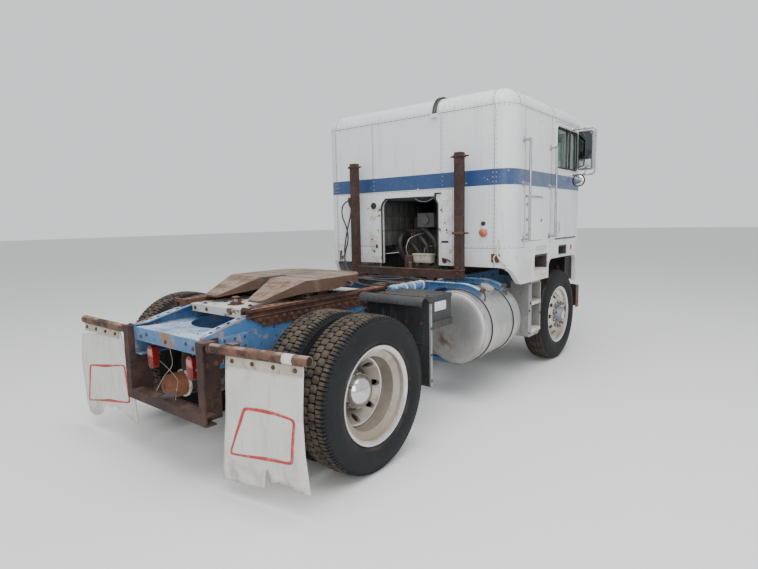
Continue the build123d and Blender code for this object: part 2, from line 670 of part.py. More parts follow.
HOSE_R = 10
ROOF_HOSE_X = (-375, -345)
ROOF_HOSE_OUT = 13
ROOF_HOSE_FRONT_Y = 1150


def roof_hoses():
    """Pair of hoses from a fitting at the back wall's top edge, over the roof's round edge."""
    y = CAB_BACK_Y + ROOF_HOSE_OUT
    z = CAB_TOP_Z + ROOF_HOSE_OUT
    hoses = []
    for x in ROOF_HOSE_X:
        route = [(x, y, ROOF_SEAM_Z), (x, y, z), (x, ROOF_HOSE_FRONT_Y, z)]
        hoses.append(tube(route, HOSE_R, ROOF_R + ROOF_HOSE_OUT))
    return group(*hoses)


TRAILER_HOSES = [
    # x, y, z of each point: two from the clamp on the left post, one along the deck
    [(HOSE_CLAMP_X, 1580, 1905), (770, 1580, 1905), (860, 1585, 1850), (865, 1590, 1730), (785, 1600, 1600),
     (750, 1612, 1460), (790, 1630, 1320), (760, 1680, 1190), (640, 1735, 1112), (535, 1750, DECK_HOSE_Z),
     (430, 1750, DECK_HOSE_Z)],
    [(688, 1626, HOSE_CLAMP_Z[0]), (688, 1626, 1760), (704, 1655, 1640), (715, 1690, 1500),
     (735, 1705, 1340), (690, 1745, 1210), (595, 1790, 1112), (505, 1800, DECK_HOSE_Z),
     (430, 1800, DECK_HOSE_Z)],
    [(400, 1775, 1073), (310, 1775, 1073), (220, 1850, 1066), (130, 1950, 1060), (90, 2080, 1060),
     (150, 2220, 1066), (220, 2330, 1070), (285, 2400, 1073), (375, 2400, 1073)],
]
TRAILER_HOSE_R = 8


def wide_bends(points):
    """Radius for each corner of a route: 0.45 of its shorter run over the tangent of half the turn."""
    radii = []
    for before, corner, after in zip(points, points[1:], points[2:]):
        first = Vector(*corner) - Vector(*before)
        second = Vector(*after) - Vector(*corner)
        half_turn = math.radians(first.get_angle(second)) / 2
        radii.append(0.45 * min(first.length, second.length) / math.tan(half_turn))
    return radii


def trailer_hoses():
    """Air and electric lines from the left post's clamp, looping down to the deck."""
    hoses = []
    for route in TRAILER_HOSES:
        path = FilletPolyline(*route, radius=wide_bends(route))
        print("hose length", round(path.length), "smallest bend", round(min(wide_bends(route))))
        section = Plane(origin=path @ 0, z_dir=path % 0) * Circle(TRAILER_HOSE_R)
        hoses.append(sweep(section, path))
    return group(*hoses)


AIR_TANK_Y = (1925, 2200)
AIR_TANK_LENGTH = 260
AIR_TANK_X = -484
AIR_TANK_R = 45


def air_tanks():
    """Small air tanks with rounded ends on the right rail."""
    tanks = []
    for y in AIR_TANK_Y:
        shell = rod((AIR_TANK_X, y, RAIL_TOP_Z), (AIR_TANK_X, y + AIR_TANK_LENGTH, RAIL_TOP_Z), AIR_TANK_R)
        shell = fillet(shell.edges().filter_by(GeomType.CIRCLE), 28)
        for foot_y in (y + 40, y + AIR_TANK_LENGTH - 90):
            shell += block((AIR_TANK_X - 20, -RAIL_OUT_X), (foot_y, foot_y + 50),
                           (RAIL_TOP_Z - 60, RAIL_TOP_Z - 30))
        tanks.append(shell)
    return group(*tanks)


SLIDE_SHEET = 12
SLIDE_PITCH = 72
SLIDE_PLATE_Y = (2560, 3880)
ANGLE_LOW_Z = 960
DECK_PIN = (3725, 30, 1122)


def slide_rails():
    """Slotted rails bolted to the frame's sides, and between them the plate with its pin."""
    x0, x1 = SLIDE_X
    front, rear = SLIDE_Y
    low = RAIL_TOP_Z + 0.5
    flange_z = (SLIDE_TOP_Z - 14, SLIDE_TOP_Z)
    rail = block((x0, x1), SLIDE_Y, flange_z)
    rail += block((x0, x0 + SLIDE_SHEET), SLIDE_Y, (low, SLIDE_TOP_Z))
    side = [(front, SLIDE_TOP_Z), (front, ANGLE_LOW_Z + 30), (front + 60, ANGLE_LOW_Z),
            (rear - 160, ANGLE_LOW_Z), (rear - 100, ANGLE_LOW_Z + 30), (rear, RAIL_TOP_Z - 10),
            (rear, SLIDE_TOP_Z)]
    rail += along_x(side, (RAIL_OUT_X, RAIL_OUT_X + SLIDE_SHEET))
    for slot_y in range(front + 60, rear - 40, SLIDE_PITCH):
        rail -= block((x0 + 30, x0 + 52), (slot_y - 20, slot_y + 20), (flange_z[0] - 1, SLIDE_TOP_Z + 1))
    plate = block((-x0, x0), SLIDE_PLATE_Y, (low, low + SLIDE_SHEET))
    inner = RAIL_OUT_X - RAIL_FLANGE - 5
    plate += block((-inner, inner), (SLIDE_PLATE_Y[1] - SLIDE_SHEET, SLIDE_PLATE_Y[1]),
                   (low - 45, low + SLIDE_SHEET))
    pin_y, head_r, head_z = DECK_PIN
    plate += rod((0, pin_y, low), (0, pin_y, low + 26), 26) + rod((0, pin_y, low), (0, pin_y, head_z), 12)
    plate += fillet(rod((0, pin_y, head_z - 14), (0, pin_y, head_z), head_r).edges().sort_by(Axis.Z)[-1], 8)
    return rail + mirror(rail, Plane.YZ) + plate


LAMP_X = 250
LAMP_Z = (660, 820)
LAMP_Y = (4240, 4285)


def tail_lamps():
    """Two upright red lamps with round ends, each hung on a strip from the tail plate."""
    lamps = []
    for x in (-LAMP_X, LAMP_X):
        lamp = block((x - 36, x + 36), LAMP_Y, LAMP_Z)
        lamp = fillet(lamp.edges().filter_by(Axis.Y), 34)
        strip_z = (LAMP_Z[0] + 40, TAIL_PLATE_Z[0])
        lamps.append(lamp + block((x - 15, x + 15), (LAMP_Y[0] - 6, LAMP_Y[0]), strip_z))
    return group(*lamps)


# Fifth wheel


def fifth_wheel_carriage():
    """Sliding base: two shoes on the rails, a cross plate and two pivot brackets."""
    x0, x1 = SLIDE_X
    y = (KINGPIN_LOCK_Y - 190, KINGPIN_LOCK_Y + 190)
    top = SLIDE_TOP_Z + 20
    base = block((-x1, x1), (y[0], y[0] + 90), (SLIDE_TOP_Z + 0.5, top))
    base += block((-x1, x1), (y[1] - 90, y[1]), (SLIDE_TOP_Z + 0.5, top))
    for side in (-1, 1):
        low, high = sorted((side * x0, side * x1))
        base += block((low, high), y, (SLIDE_TOP_Z + 0.5, top))
        ear_x = sorted((side * 388, side * 440))
        ear = block(ear_x, (KINGPIN_LOCK_Y - 50, KINGPIN_LOCK_Y + 50), (top, PLATE_PIVOT_Z))
        ear += rod((ear_x[0], KINGPIN_LOCK_Y, PLATE_PIVOT_Z), (ear_x[1], KINGPIN_LOCK_Y, PLATE_PIVOT_Z), 20)
        ear += rod((side * 330, KINGPIN_LOCK_Y, PLATE_PIVOT_Z), (side * 400, KINGPIN_LOCK_Y, PLATE_PIVOT_Z),
                   PIVOT_PIN_R)
        base += ear
    return base


PLATE_OUTLINE = [
    # x, y, corner radius of the left half, from the throat round to the front
    (KINGPIN_R, KINGPIN_LOCK_Y, 0), (KINGPIN_R, 3340, 0), (190, 3765, 38), (345, 3765, 55),
    (478, 3380, 160), (485, 3100, 0), (470, 2860, 90), (330, 2715, 110)]
PLATE_DEPTH = 62
PLATE_SKIN = 14
PLATE_POCKETS = [
    # x, x, y, y of each hollow in the underside
    (20, 205, 2750, 2905), (20, 205, 2925, 3060), (225, 330, 2790, 2905), (225, 430, 2925, 3060),
    (60, 205, 3080, 3190), (225, 325, 3080, 3330), (225, 325, 3350, 3440), (384, 446, 3183, 3307)]
RAMP = ((3430, PLATE_TOP_Z), (3800, 1104))
SKIRT = ((2850, PLATE_TOP_Z - PLATE_DEPTH), (3150, 1145))
RAMP_UNDERSIDE = ((3440, 1145), (3765, 1103))
PIVOT_PIN_R = 12


def plate_plan():
    """Plan of the plate, with each outer corner rounded by its own radius."""
    right = [(-x, y, radius) for x, y, radius in reversed(PLATE_OUTLINE)]
    rows = PLATE_OUTLINE + right
    plan = make_face(Polyline(*[(x, y) for x, y, radius in rows], close=True).edges())
    for x, y, radius in rows:
        if radius:
            corner = plan.vertices().sort_by_distance((x, y, 0))[0]
            plan = fillet(corner, radius)
    return plan


def fifth_wheel_plate():
    """Cast top plate: open throat, rounded tips, sloping ramps, hollow ribbed underside and pivot ears."""
    low = RAMP_UNDERSIDE[1][1]
    z0 = PLATE_TOP_Z - PLATE_DEPTH
    body = Pos(0, 0, low) * extrude(plate_plan(), PLATE_TOP_Z - low)
    body -= rod((0, KINGPIN_LOCK_Y, low - 1), (0, KINGPIN_LOCK_Y, PLATE_TOP_Z + 1), KINGPIN_R)
    (ramp_y, ramp_z), (ramp_end_y, ramp_end_z) = RAMP
    above = ramp_z + 9
    body -= along_x([(ramp_y, ramp_z), (ramp_end_y, ramp_end_z), (ramp_end_y, above), (ramp_y, above)],
                    (-500, 500))
    (under_y, under_z), (tip_y, tip_z) = RAMP_UNDERSIDE
    below = low - 9
    body -= along_x([(2600, below), (2600, z0), *SKIRT, (under_y, under_z), (tip_y, tip_z), (tip_y, below)],
                    (-500, 500))
    for x0, x1, y0, y1 in PLATE_POCKETS:
        hollow = block((x0, x1), (y0, y1), (low - 1, PLATE_TOP_Z - PLATE_SKIN))
        hollow = fillet(hollow.edges().filter_by(Axis.Z), 18)
        body -= hollow
        body -= mirror(hollow, Plane.YZ)
    for side in (-1, 1):
        ear_x = sorted((side * 340, side * 382))
        body += rod((ear_x[0], KINGPIN_LOCK_Y, PLATE_PIVOT_Z), (ear_x[1], KINGPIN_LOCK_Y, PLATE_PIVOT_Z), 30)
        body -= rod((side * 320, KINGPIN_LOCK_Y, PLATE_PIVOT_Z), (side * 384, KINGPIN_LOCK_Y, PLATE_PIVOT_Z),
                    PIVOT_PIN_R + 0.05)
    handle_z = z0 + 22
    body += rod((440, 3010, handle_z), (560, 3010, handle_z), 8)
    return body + Pos(560, 3010, handle_z) * Sphere(16)


# Cab


def cab_plan(inset):
    """Plan of the cab moved in by inset, with large front corners and smaller rear ones."""
    half = CAB_HALF - inset
    front = CAB_FRONT_Y + inset
    back = CAB_BACK_Y - inset
    outline = Pos(0, (front + back) / 2) * Rectangle(2 * half, back - front)
    outline = fillet(outline.vertices().sort_by(Axis.Y)[:2], CAB_FRONT_R - inset)
    square = [vertex for vertex in outline.vertices() if vertex.Y > back - 1]
    return fillet(square, CAB_BACK_R - inset)


def cab_form(inset, low):
    """Closed form of the cab from low up to its roof, moved in by inset."""
    top = CAB_TOP_Z - inset
    body = Pos(0, 0, low) * extrude(cab_plan(inset), top - low)
    rim = body.faces().sort_by(Axis.Z)[-1].edges()
    return fillet(rim, ROOF_R - inset)


ARCH_Y = (FRONT_SEAM_Y, 530)
ARCH_TOP_Z = 1220
ARCH_R = 90
FRONT_LOW_Z = 900
FRONT_GAP_HALF = 560
FRONT_GAP_TOP_Z = 1010


def cab_shell():
    """Walls and roof of the cab as one skin, with the lower edges and wheel arches cut."""
    shell = cab_form(0, FRONT_LOW_Z) - cab_form(WALL, FRONT_LOW_Z - 1)
    wide = (-CAB_HALF - 5, CAB_HALF + 5)
    arch = block(wide, (ARCH_Y[0], ARCH_Y[1]), (800, ARCH_TOP_Z))
    upper = [edge for edge in arch.edges().filter_by(Axis.X) if edge.center().Z > ARCH_TOP_Z - 1]
    shell -= fillet(upper, ARCH_R)
    rear = [(ARCH_Y[1] - 1, 800), (ARCH_Y[1] - 1, SKIRT_Z), (1250, SKIRT_Z), (1300, 1035), (1350, 1080),
            (1400, 1150), (1440, 1185), (1480, 1200), (1600, 1200), (1600, 800)]
    shell -= along_x(rear, wide)
    shell -= block((-FRONT_GAP_HALF, FRONT_GAP_HALF), (CAB_FRONT_Y - 1, 0), (800, FRONT_GAP_TOP_Z))
    return shell


def cab_tunnel():
    """Engine tunnel: a low doghouse in front and a tall part to the back wall."""
    inner = TUNNEL_HALF - WALL
    front = CAB_FRONT_Y + WALL
    back = CAB_BACK_Y - WALL
    low = FLOOR_Z - WALL
    tall = block((-TUNNEL_HALF, TUNNEL_HALF), (DOGHOUSE_REAR_Y, back), (low, TUNNEL_TOP_Z + WALL))
    tall += block((-TUNNEL_HALF, TUNNEL_HALF), (front, DOGHOUSE_REAR_Y), (low, DOGHOUSE_TOP_Z))
    tall -= block((-inner, inner), (DOGHOUSE_REAR_Y + WALL, back + 1), (low - 1, TUNNEL_TOP_Z))
    tall -= block((-inner, inner), (front - 1, DOGHOUSE_REAR_Y + WALL + 1), (low - 1, DOGHOUSE_TOP_Z - WALL))
    return tall


def cab_floor():
    """Floor panels each side of the engine tunnel, and the seat boxes."""
    plan = Pos(0, 0, FLOOR_Z - WALL) * extrude(cab_plan(WALL), WALL)
    plan -= block((-TUNNEL_HALF, TUNNEL_HALF), (CAB_FRONT_Y, CAB_BACK_Y), (1000, 2000))
    floor = plan + cab_tunnel()
    for side in (-1, 1):
        x = sorted((side * 600, side * 1000))
        floor += block(x, (300, 720), (FLOOR_Z, 1560))
        ear_x = sorted((side * TILT_EAR_X[0], side * TILT_EAR_X[1]))
        ear = block(ear_x, (TILT_Y - 16, TILT_Y + 44), (TILT_Z, FLOOR_Z - WALL))
        ear += rod((ear_x[0], TILT_Y, TILT_Z), (ear_x[1], TILT_Y, TILT_Z), 38)
        floor += ear - rod((ear_x[0] - 1, TILT_Y, TILT_Z), (ear_x[1] + 1, TILT_Y, TILT_Z), TILT_PIN_R + 0.05)
    return floor


HEADLAMP_X = (600, 780)
HEADLAMP_Z = 1120
LAMP_R = 78
GRILLE_HALF = 470
GRILLE_Z = (1180, 1820)
SHIELD_X = (24, 880)
SHIELD_Z = (2060, 2620)
VISOR_HALF = 1000
VISOR_Y = -715
VISOR_Z = (2690, 2905)


def visor():
    """Upright strip across the top of the windshield, on three brackets."""
    strip = block((-VISOR_HALF, VISOR_HALF), (VISOR_Y, VISOR_Y + 8), VISOR_Z)
    strip = fillet(strip.edges().filter_by(Axis.Y), 30)
    for x in (-VISOR_HALF + 170, 0, VISOR_HALF - 170):
        strip += block((x - 15, x + 15), (VISOR_Y + 7, CAB_FRONT_Y + 2), (VISOR_Z[0] + 4, VISOR_Z[0] + 20))
    return strip


def cab_panels():
    """The shell cut where its real panels meet: roof, back, sides and front."""
    shell = cab_shell()
    far = 3000
    roof = shell & block((-far, far), (-far, far), (ROOF_SEAM_Z, far))
    below = shell - block((-far, far), (-far, far), (ROOF_SEAM_Z, far))
    back = below & block((-BACK_SEAM_X, BACK_SEAM_X), (1200, far), (0, far))
    front = below & block((-far, far), (-far, FRONT_SEAM_Y), (0, far))
    sides = below - block((-BACK_SEAM_X, BACK_SEAM_X), (1200, far), (0, far))
    sides -= block((-far, far), (-far, FRONT_SEAM_Y), (0, far))
    opening = block(OPENING_X, (1300, 1600), (1000, OPENING_TOP_Z))
    upper = [edge for edge in opening.edges().filter_by(Axis.Y) if edge.center().Z > OPENING_TOP_Z - 1]
    back -= fillet(upper, 95)
    back -= block((-560, 560), (1300, 1600), (1000, 1180))
    for side in (-1, 1):
        shield = sorted((side * SHIELD_X[0], side * SHIELD_X[1]))
        front -= block(shield, (CAB_FRONT_Y - 5, CAB_FRONT_Y + WALL + 5), SHIELD_Z)
        for lamp_x in HEADLAMP_X:
            ends = [(side * lamp_x, y, HEADLAMP_Z) for y in (CAB_FRONT_Y - 5, CAB_FRONT_Y + WALL + 5)]
            front -= rod(*ends, LAMP_R + 0.5)
    front -= block((-GRILLE_HALF, GRILLE_HALF), (CAB_FRONT_Y - 5, CAB_FRONT_Y + WALL + 5), GRILLE_Z)
    door_y = (DOOR_Y[0] - GAP - 50, DOOR_Y[1] + GAP)
    door_hole = block((-far, far), door_y, (DOOR_Z[0] - GAP, DOOR_Z[1] + GAP))
    sides -= fillet(rear_edges(door_hole), DOOR_CORNER_R + GAP)
    hatch_hole = block((-far, far), (HATCH_Y[0] - GAP, HATCH_Y[1] + GAP),
                       (HATCH_Z[0] - GAP, HATCH_Z[1] + GAP))
    sides -= hatch_hole
    clip_x = (ROOF_HOSE_X[0] - 16, ROOF_HOSE_X[1] + 16)
    back += block(clip_x, (CAB_BACK_Y - 1, CAB_BACK_Y + 26), (ROOF_SEAM_Z - 34, ROOF_SEAM_Z))
    roof += block(clip_x, (ROOF_HOSE_FRONT_Y - 40, ROOF_HOSE_FRONT_Y), (CAB_TOP_Z - 1, CAB_TOP_Z + 26))
    front += visor()
    return roof, back, sides_with_steps(sides), front


TOE_HOLE = ((-40, 250), (1245, 1355))
STEP_WELL = ((562, 930), (1125, 1290))
POCKET_DEPTH = 110
POCKET_SHEET = 6
RECESS_ROWS = [
    # y centre, z centre, y size, z size, corner radius, depth
    (757, 1350, 300, 66, 32, 16),
    (790, 2522, 100, 228, 20, 3),
]


def sides_with_steps(sides):
    """Side panels with a toe hole and a step well, each with a pocket behind it, and two recesses."""
    for side in (-1, 1):
        for y, z in (TOE_HOLE, STEP_WELL):
            outer_x = sorted((side * CAB_HALF, side * (CAB_HALF - WALL - POCKET_DEPTH)))
            pocket = block(outer_x, (y[0] - POCKET_SHEET, y[1] + POCKET_SHEET),
                           (z[0] - POCKET_SHEET, z[1] + POCKET_SHEET))
            inside = CAB_HALF - WALL - POCKET_DEPTH + POCKET_SHEET
            hollow_x = sorted((side * (CAB_HALF + 5), side * inside))
            hollow = block(hollow_x, y, z)
            sides += pocket
            sides -= fillet(hollow.edges().filter_by(Axis.X), 24)
        for y, z, y_size, z_size, radius, depth in RECESS_ROWS:
            cut_x = sorted((side * (CAB_HALF + 5), side * (CAB_HALF - depth)))
            cut = block(cut_x, (y - y_size / 2, y + y_size / 2), (z - z_size / 2, z + z_size / 2))
            sides -= fillet(cut.edges().filter_by(Axis.X), radius)
    return sides


def arch_liners():
    """Dark sheet liner over each front wheel: top, rear and front sheets."""
    x = (600, CAB_HALF - WALL - 1)
    top = block(x, LINER_Y, (LINER_TOP_Z - LINER_SHEET, LINER_TOP_Z))
    rear = block(x, (LINER_Y[1] - LINER_SHEET, LINER_Y[1]), (SKIRT_Z, LINER_TOP_Z))
    front = block(x, (LINER_Y[0], LINER_Y[0] + LINER_SHEET), (FRONT_LOW_Z, LINER_TOP_Z))
    corner = cab_form(WALL + 1, FRONT_LOW_Z - 1)
    return both_sides((top + rear + front) & corner)


def rear_edges(slab):
    """The edges along X at the rear of a slab, one at its top and one at its foot."""
    edges = slab.edges().filter_by(Axis.X)
    rear = max(edge.center().Y for edge in edges)
    return [edge for edge in edges if edge.center().Y > rear - 1]


def side_slab(y, z, thick):
    """Flat piece of the right wall between two y and two z values."""
    return block((-CAB_HALF, -CAB_HALF + thick), y, z)


def door_right():
    """Door slab with its window and vent openings, handle and hinges."""
    slab = side_slab(DOOR_Y, DOOR_Z, WALL)
    slab = fillet(rear_edges(slab), DOOR_CORNER_R)
    reach = (-CAB_HALF - 5, -CAB_HALF + WALL + 5)
    for y in (WINDOW_Y, VENT_Y):
        slab -= block(reach, y, WINDOW_Z)
    x = -CAB_HALF
    low, high = HANDLE_Z
    middle = (HANDLE_Y[0] + HANDLE_Y[1]) / 2
    cup = block((x - 1, x + 20), HANDLE_Y, HANDLE_Z)
    slab -= fillet(cup.edges().filter_by(Axis.X), 22)
    slab += block((x - 4, x + 6), (middle - 14, middle + 14), (low + 8, high - 8))
    slab += block((x, x + 21), (middle - 10, middle + 10), (high - 30, high - 8))
    return slab


def door_glass_right():
    """Window pane and vent pane, seated in their openings."""
    x = -CAB_HALF + WALL / 2
    panes = [block((x - GLASS / 2, x + GLASS / 2), y, WINDOW_Z) for y in (WINDOW_Y, VENT_Y)]
    return group(*panes)


def hatch_right():
    """Side hatch with rounded top corners."""
    slab = side_slab(HATCH_Y, HATCH_Z, WALL)
    upper = [edge for edge in slab.edges().filter_by(Axis.X) if edge.center().Z > HATCH_Z[1] - 1]
    return fillet(upper, 55)


MIRROR_X = -1335
MIRROR_Y = -150


def mirror_right():
    """Tall mirror head on a bent tube frame, with a round mirror below it."""
    x = MIRROR_X
    head = block((x - 85, x + 85), (MIRROR_Y - 28, MIRROR_Y + 28), (2200, 2640))
    head = fillet(head.edges().filter_by(Axis.Y), 24)
    wall_x = -CAB_HALF
    outer_x = x - 105
    arms = tube([(wall_x, MIRROR_Y, 2665), (outer_x, MIRROR_Y, 2665), (outer_x, MIRROR_Y, 2150),
                 (wall_x, MIRROR_Y, 2150)], 9, 40)
    lower = rod((x + 60, MIRROR_Y, 2150), (x + 60, MIRROR_Y + 30, 2090), 6)
    disc = rod((x + 60, MIRROR_Y + 20, 2085), (x + 60, MIRROR_Y + 44, 2085), 70)
    stays = rod((x, MIRROR_Y, 2640), (x, MIRROR_Y, 2668), 8)
    stays += rod((x, MIRROR_Y, 2142), (x, MIRROR_Y, 2200), 8)
    return arms + head + lower + disc + stays


RAIL_ROWS = [
    # y, low z, high z of a grab rail
    (1230, 1450, 2420),
    (540, 1457, 2410),
]


def grab_rails():
    """Tall grab rails beside each door, on standoffs."""
    rails = []
    reach = CAB_HALF + 68
    for y, low, high in RAIL_ROWS:
        rail = rod((reach, y, low), (reach, y, high), 13)
        for z in (low + 15, (low + high) / 2 + 60, high - 15):
            rail += rod((CAB_HALF, y, z), (reach, y, z), 11)
            rail += rod((CAB_HALF, y, z), (CAB_HALF + 8, y, z), 26)
        rails.append(rail)
    return group(*[both_sides(rail) for rail in rails])


def windshield():
    """Two flat panes in the front panel."""
    y = CAB_FRONT_Y + WALL / 2
    return both_sides(block(SHIELD_X, (y - GLASS / 2, y + GLASS / 2), SHIELD_Z))


def grille():
    """Bright grille: a frame with level bars."""
    depth = (CAB_FRONT_Y - 18, CAB_FRONT_Y + 20)
    frame = block((-GRILLE_HALF, GRILLE_HALF), depth, GRILLE_Z)
    frame -= block((30 - GRILLE_HALF, GRILLE_HALF - 30), (depth[0] - 1, depth[1] + 1),
                   (GRILLE_Z[0] + 30, GRILLE_Z[1] - 30))
    bars = 12
    pitch = (GRILLE_Z[1] - GRILLE_Z[0] - 60) / bars
    for index in range(1, bars):
        z = GRILLE_Z[0] + 30 + index * pitch
        frame += block((25 - GRILLE_HALF, GRILLE_HALF - 25), (depth[0] + 8, depth[1] - 4), (z - 5, z + 5))
    frame += block((-8, 8), (depth[0] + 8, depth[1] - 4), (GRILLE_Z[0] + 25, GRILLE_Z[1] - 25))
    return frame


def headlamps():
    """Paired round headlamps in the front panel, each with a raised rim."""
    y = CAB_FRONT_Y
    lamps = []
    for x in HEADLAMP_X:
        lamp = rod((x, y - 10, HEADLAMP_Z), (x, y + WALL, HEADLAMP_Z), LAMP_R)
        lamp += rod((x, y - 16, HEADLAMP_Z), (x, y - 1, HEADLAMP_Z), LAMP_R + 8)
        lamp -= rod((x, y - 17, HEADLAMP_Z), (x, y - 9, HEADLAMP_Z), LAMP_R - 4)
        lamps.append(lamp)
    return group(*[both_sides(lamp) for lamp in lamps])


def marker_lamps():
    """Row of small lamps on the roof's front, and a square marker on each side."""
    lamps = []
    for x in (-760, -180, 0, 180, 760):
        lamp = block((x - 45, x + 45), (-480, -400), (CAB_TOP_Z, CAB_TOP_Z + 34))
        lamps.append(fillet(lamp.edges().group_by(Axis.Z)[-1], 12))
    marker = block((CAB_HALF, CAB_HALF + 12), (-178, -128), (1295, 1345))
    return group(*lamps, both_sides(marker))


def seats():
    """Two seats: cushion and back."""
    cushion = block((600, 1020), (270, 740), (1561, 1690))
    back = block((610, 1010), (700, 820), (1691, 2280))
    return both_sides(cushion + back)


def bunk():
    """Bunk mattress across the back of the cab."""
    half = CAB_HALF - WALL - 4
    return block((-half + 120, half - 120), (860, 1450), (TUNNEL_TOP_Z + WALL, 2080))


def dashboard():
    """Dashboard across the front, with the steering column and wheel on the left."""
    half = 850
    board = block((-half, half), (CAB_FRONT_Y + WALL, -370), (1760, 2040))
    board += rod((720, -420, 1800), (720, -130, 1990), 26)
    centre = Vector(720, -130, 1990)
    wheel = Torus(240, 14)
    lean = Rot(33 - 90, 0, 0)
    board += Pos(centre.X, centre.Y, centre.Z) * lean * wheel
    board += Pos(centre.X, centre.Y, centre.Z) * lean * Box(470, 34, 12)
    return board


def build_nodes():
    """Every sub-part by the name of its node."""
    roof, back, sides, front = cab_panels()
    nodes = {
        "frame_rails": frame_rails(), "crossmembers": crossmembers(),
        "tail_frame": tail_frame(), "mud_flaps": mud_flaps(), "bumper": bumper(),
        "roof_hoses": roof_hoses(), "trailer_hoses": trailer_hoses(), "arch_liners": arch_liners(),
        "front_axle": front_axle(), "rear_axle": rear_axle(), "leaf_springs": leaf_springs(),
        "engine": engine(), "radiator": radiator(), "driveshaft": driveshaft(),
        "steering_gear": steering_gear(), "pitman_arm": pitman_arm(), "drag_link": drag_link(),
        "tie_rod": tie_rod(), "knuckle_left": knuckle(1), "knuckle_right": knuckle(-1),
        "fuel_tanks": fuel_tanks(), "tank_brackets": tank_brackets(), "battery_box": battery_box(),
        "rear_fenders": rear_fenders(), "cab_steps": cab_steps(), "stack_posts": stack_posts(),
        "air_tanks": air_tanks(), "slide_rails": slide_rails(), "tail_lamps": tail_lamps(),
        "fifth_wheel_carriage": fifth_wheel_carriage(), "fifth_wheel_plate": fifth_wheel_plate(),
        "cab_roof": roof, "cab_back": back, "cab_sides": sides, "cab_front": front,
        "cab_floor": cab_floor(), "windshield": windshield(), "grille": grille(),
        "headlamps": headlamps(), "marker_lamps": marker_lamps(), "grab_rails": grab_rails(),
        "seats": seats(), "bunk": bunk(), "dashboard": dashboard(),
    }
    right_pieces = {"door": door_right(), "door_glass": door_glass_right(), "mirror": mirror_right(),
                    "hatch": hatch_right()}
    for name, piece in right_pieces.items():
        nodes[name + "_right"] = piece
        nodes[name + "_left"] = mirror(piece, Plane.YZ)
    for name, side in (("left", 1), ("right", -1)):
        nodes["front_tyre_" + name] = tyre(side * FRONT_WHEEL_X, 0)
        nodes["front_wheel_" + name] = front_wheel(side)
        nodes["rear_tyres_" + name] = rear_tyres(side)
        nodes["rear_wheels_" + name] = rear_wheels(side)
    return nodes


os.makedirs("parts", exist_ok=True)
for node_name, shape in build_nodes().items():
    export_step(Pos(0, -MIDDLE_Y, 0) * shape, "parts/" + node_name + ".step")
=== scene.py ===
import itertools
import math

import bpy
import bmesh
from mathutils import Matrix, Vector


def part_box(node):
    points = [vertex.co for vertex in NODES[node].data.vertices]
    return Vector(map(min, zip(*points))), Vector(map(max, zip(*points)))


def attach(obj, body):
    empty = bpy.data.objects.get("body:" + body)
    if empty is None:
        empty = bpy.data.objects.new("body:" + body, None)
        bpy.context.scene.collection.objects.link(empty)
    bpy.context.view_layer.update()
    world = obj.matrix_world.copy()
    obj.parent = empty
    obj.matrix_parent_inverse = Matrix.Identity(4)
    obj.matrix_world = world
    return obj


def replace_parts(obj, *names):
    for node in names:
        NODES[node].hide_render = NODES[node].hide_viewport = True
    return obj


# Looks of the truck, in metres. X is its left, Y its rear, Z up, as in the frame.
# Places along the truck are given as metres behind the front axle, which at() turns into the frame's Y.

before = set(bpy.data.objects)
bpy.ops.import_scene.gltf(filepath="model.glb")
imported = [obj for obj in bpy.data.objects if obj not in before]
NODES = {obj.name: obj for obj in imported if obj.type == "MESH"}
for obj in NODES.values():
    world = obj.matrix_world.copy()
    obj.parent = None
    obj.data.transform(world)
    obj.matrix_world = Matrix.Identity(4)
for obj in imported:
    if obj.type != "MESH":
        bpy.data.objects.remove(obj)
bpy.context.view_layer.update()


def middle(node):
    """Centre of a node's box."""
    low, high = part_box(node)
    return (low + high) / 2


FRONT_AXLE = middle("front_tyre_left").y
REAR_AXLE = middle("rear_tyres_left").y
AXLE_Z = middle("front_tyre_left").z
BACK_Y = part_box("cab_back")[1].y
CAB_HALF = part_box("cab_sides")[1].x
STRIPE_Z = (1.981, 2.132)


def at(x, behind, z):
    """A point, given by its distance behind the front axle."""
    return Vector((x, behind + FRONT_AXLE, z))


# Camera, floor and light

CAMERA_PLACE = (-3.239, 4.2685, 1.66)
CAMERA_ANGLES = (38.74, 6.97, -1.10)
LENS = 24.497
SKY_DIM = 0.74
SKY_COLOUR = (0.96, 0.98, 1.0, 1)
LAMPS = [
    # name, place, size, power
    ("overhead", (-2.5, 2.5, 8.5), 8, 800),
    ("fill", (-8, 8, 4), 5, 270),
]


def add_camera():
    """Camera at the photograph's view: behind the truck's right rear corner, looking forward."""
    turn, down, roll = (math.radians(angle) for angle in CAMERA_ANGLES)
    look = Vector((math.sin(turn) * math.cos(down), -math.cos(turn) * math.cos(down), -math.sin(down)))
    right = Vector((-math.cos(turn), -math.sin(turn), 0))
    up = right.cross(look)
    right_rolled = math.cos(roll) * right + math.sin(roll) * up
    up_rolled = -math.sin(roll) * right + math.cos(roll) * up
    data = bpy.data.cameras.new("camera")
    data.lens = LENS
    data.clip_end = 500
    camera = bpy.data.objects.new("camera", data)
    bpy.context.scene.collection.objects.link(camera)
    rotation = Matrix((right_rolled, up_rolled, -look)).transposed()
    camera.matrix_world = Matrix.Translation(CAMERA_PLACE) @ rotation.to_4x4()
    bpy.context.scene.camera = camera


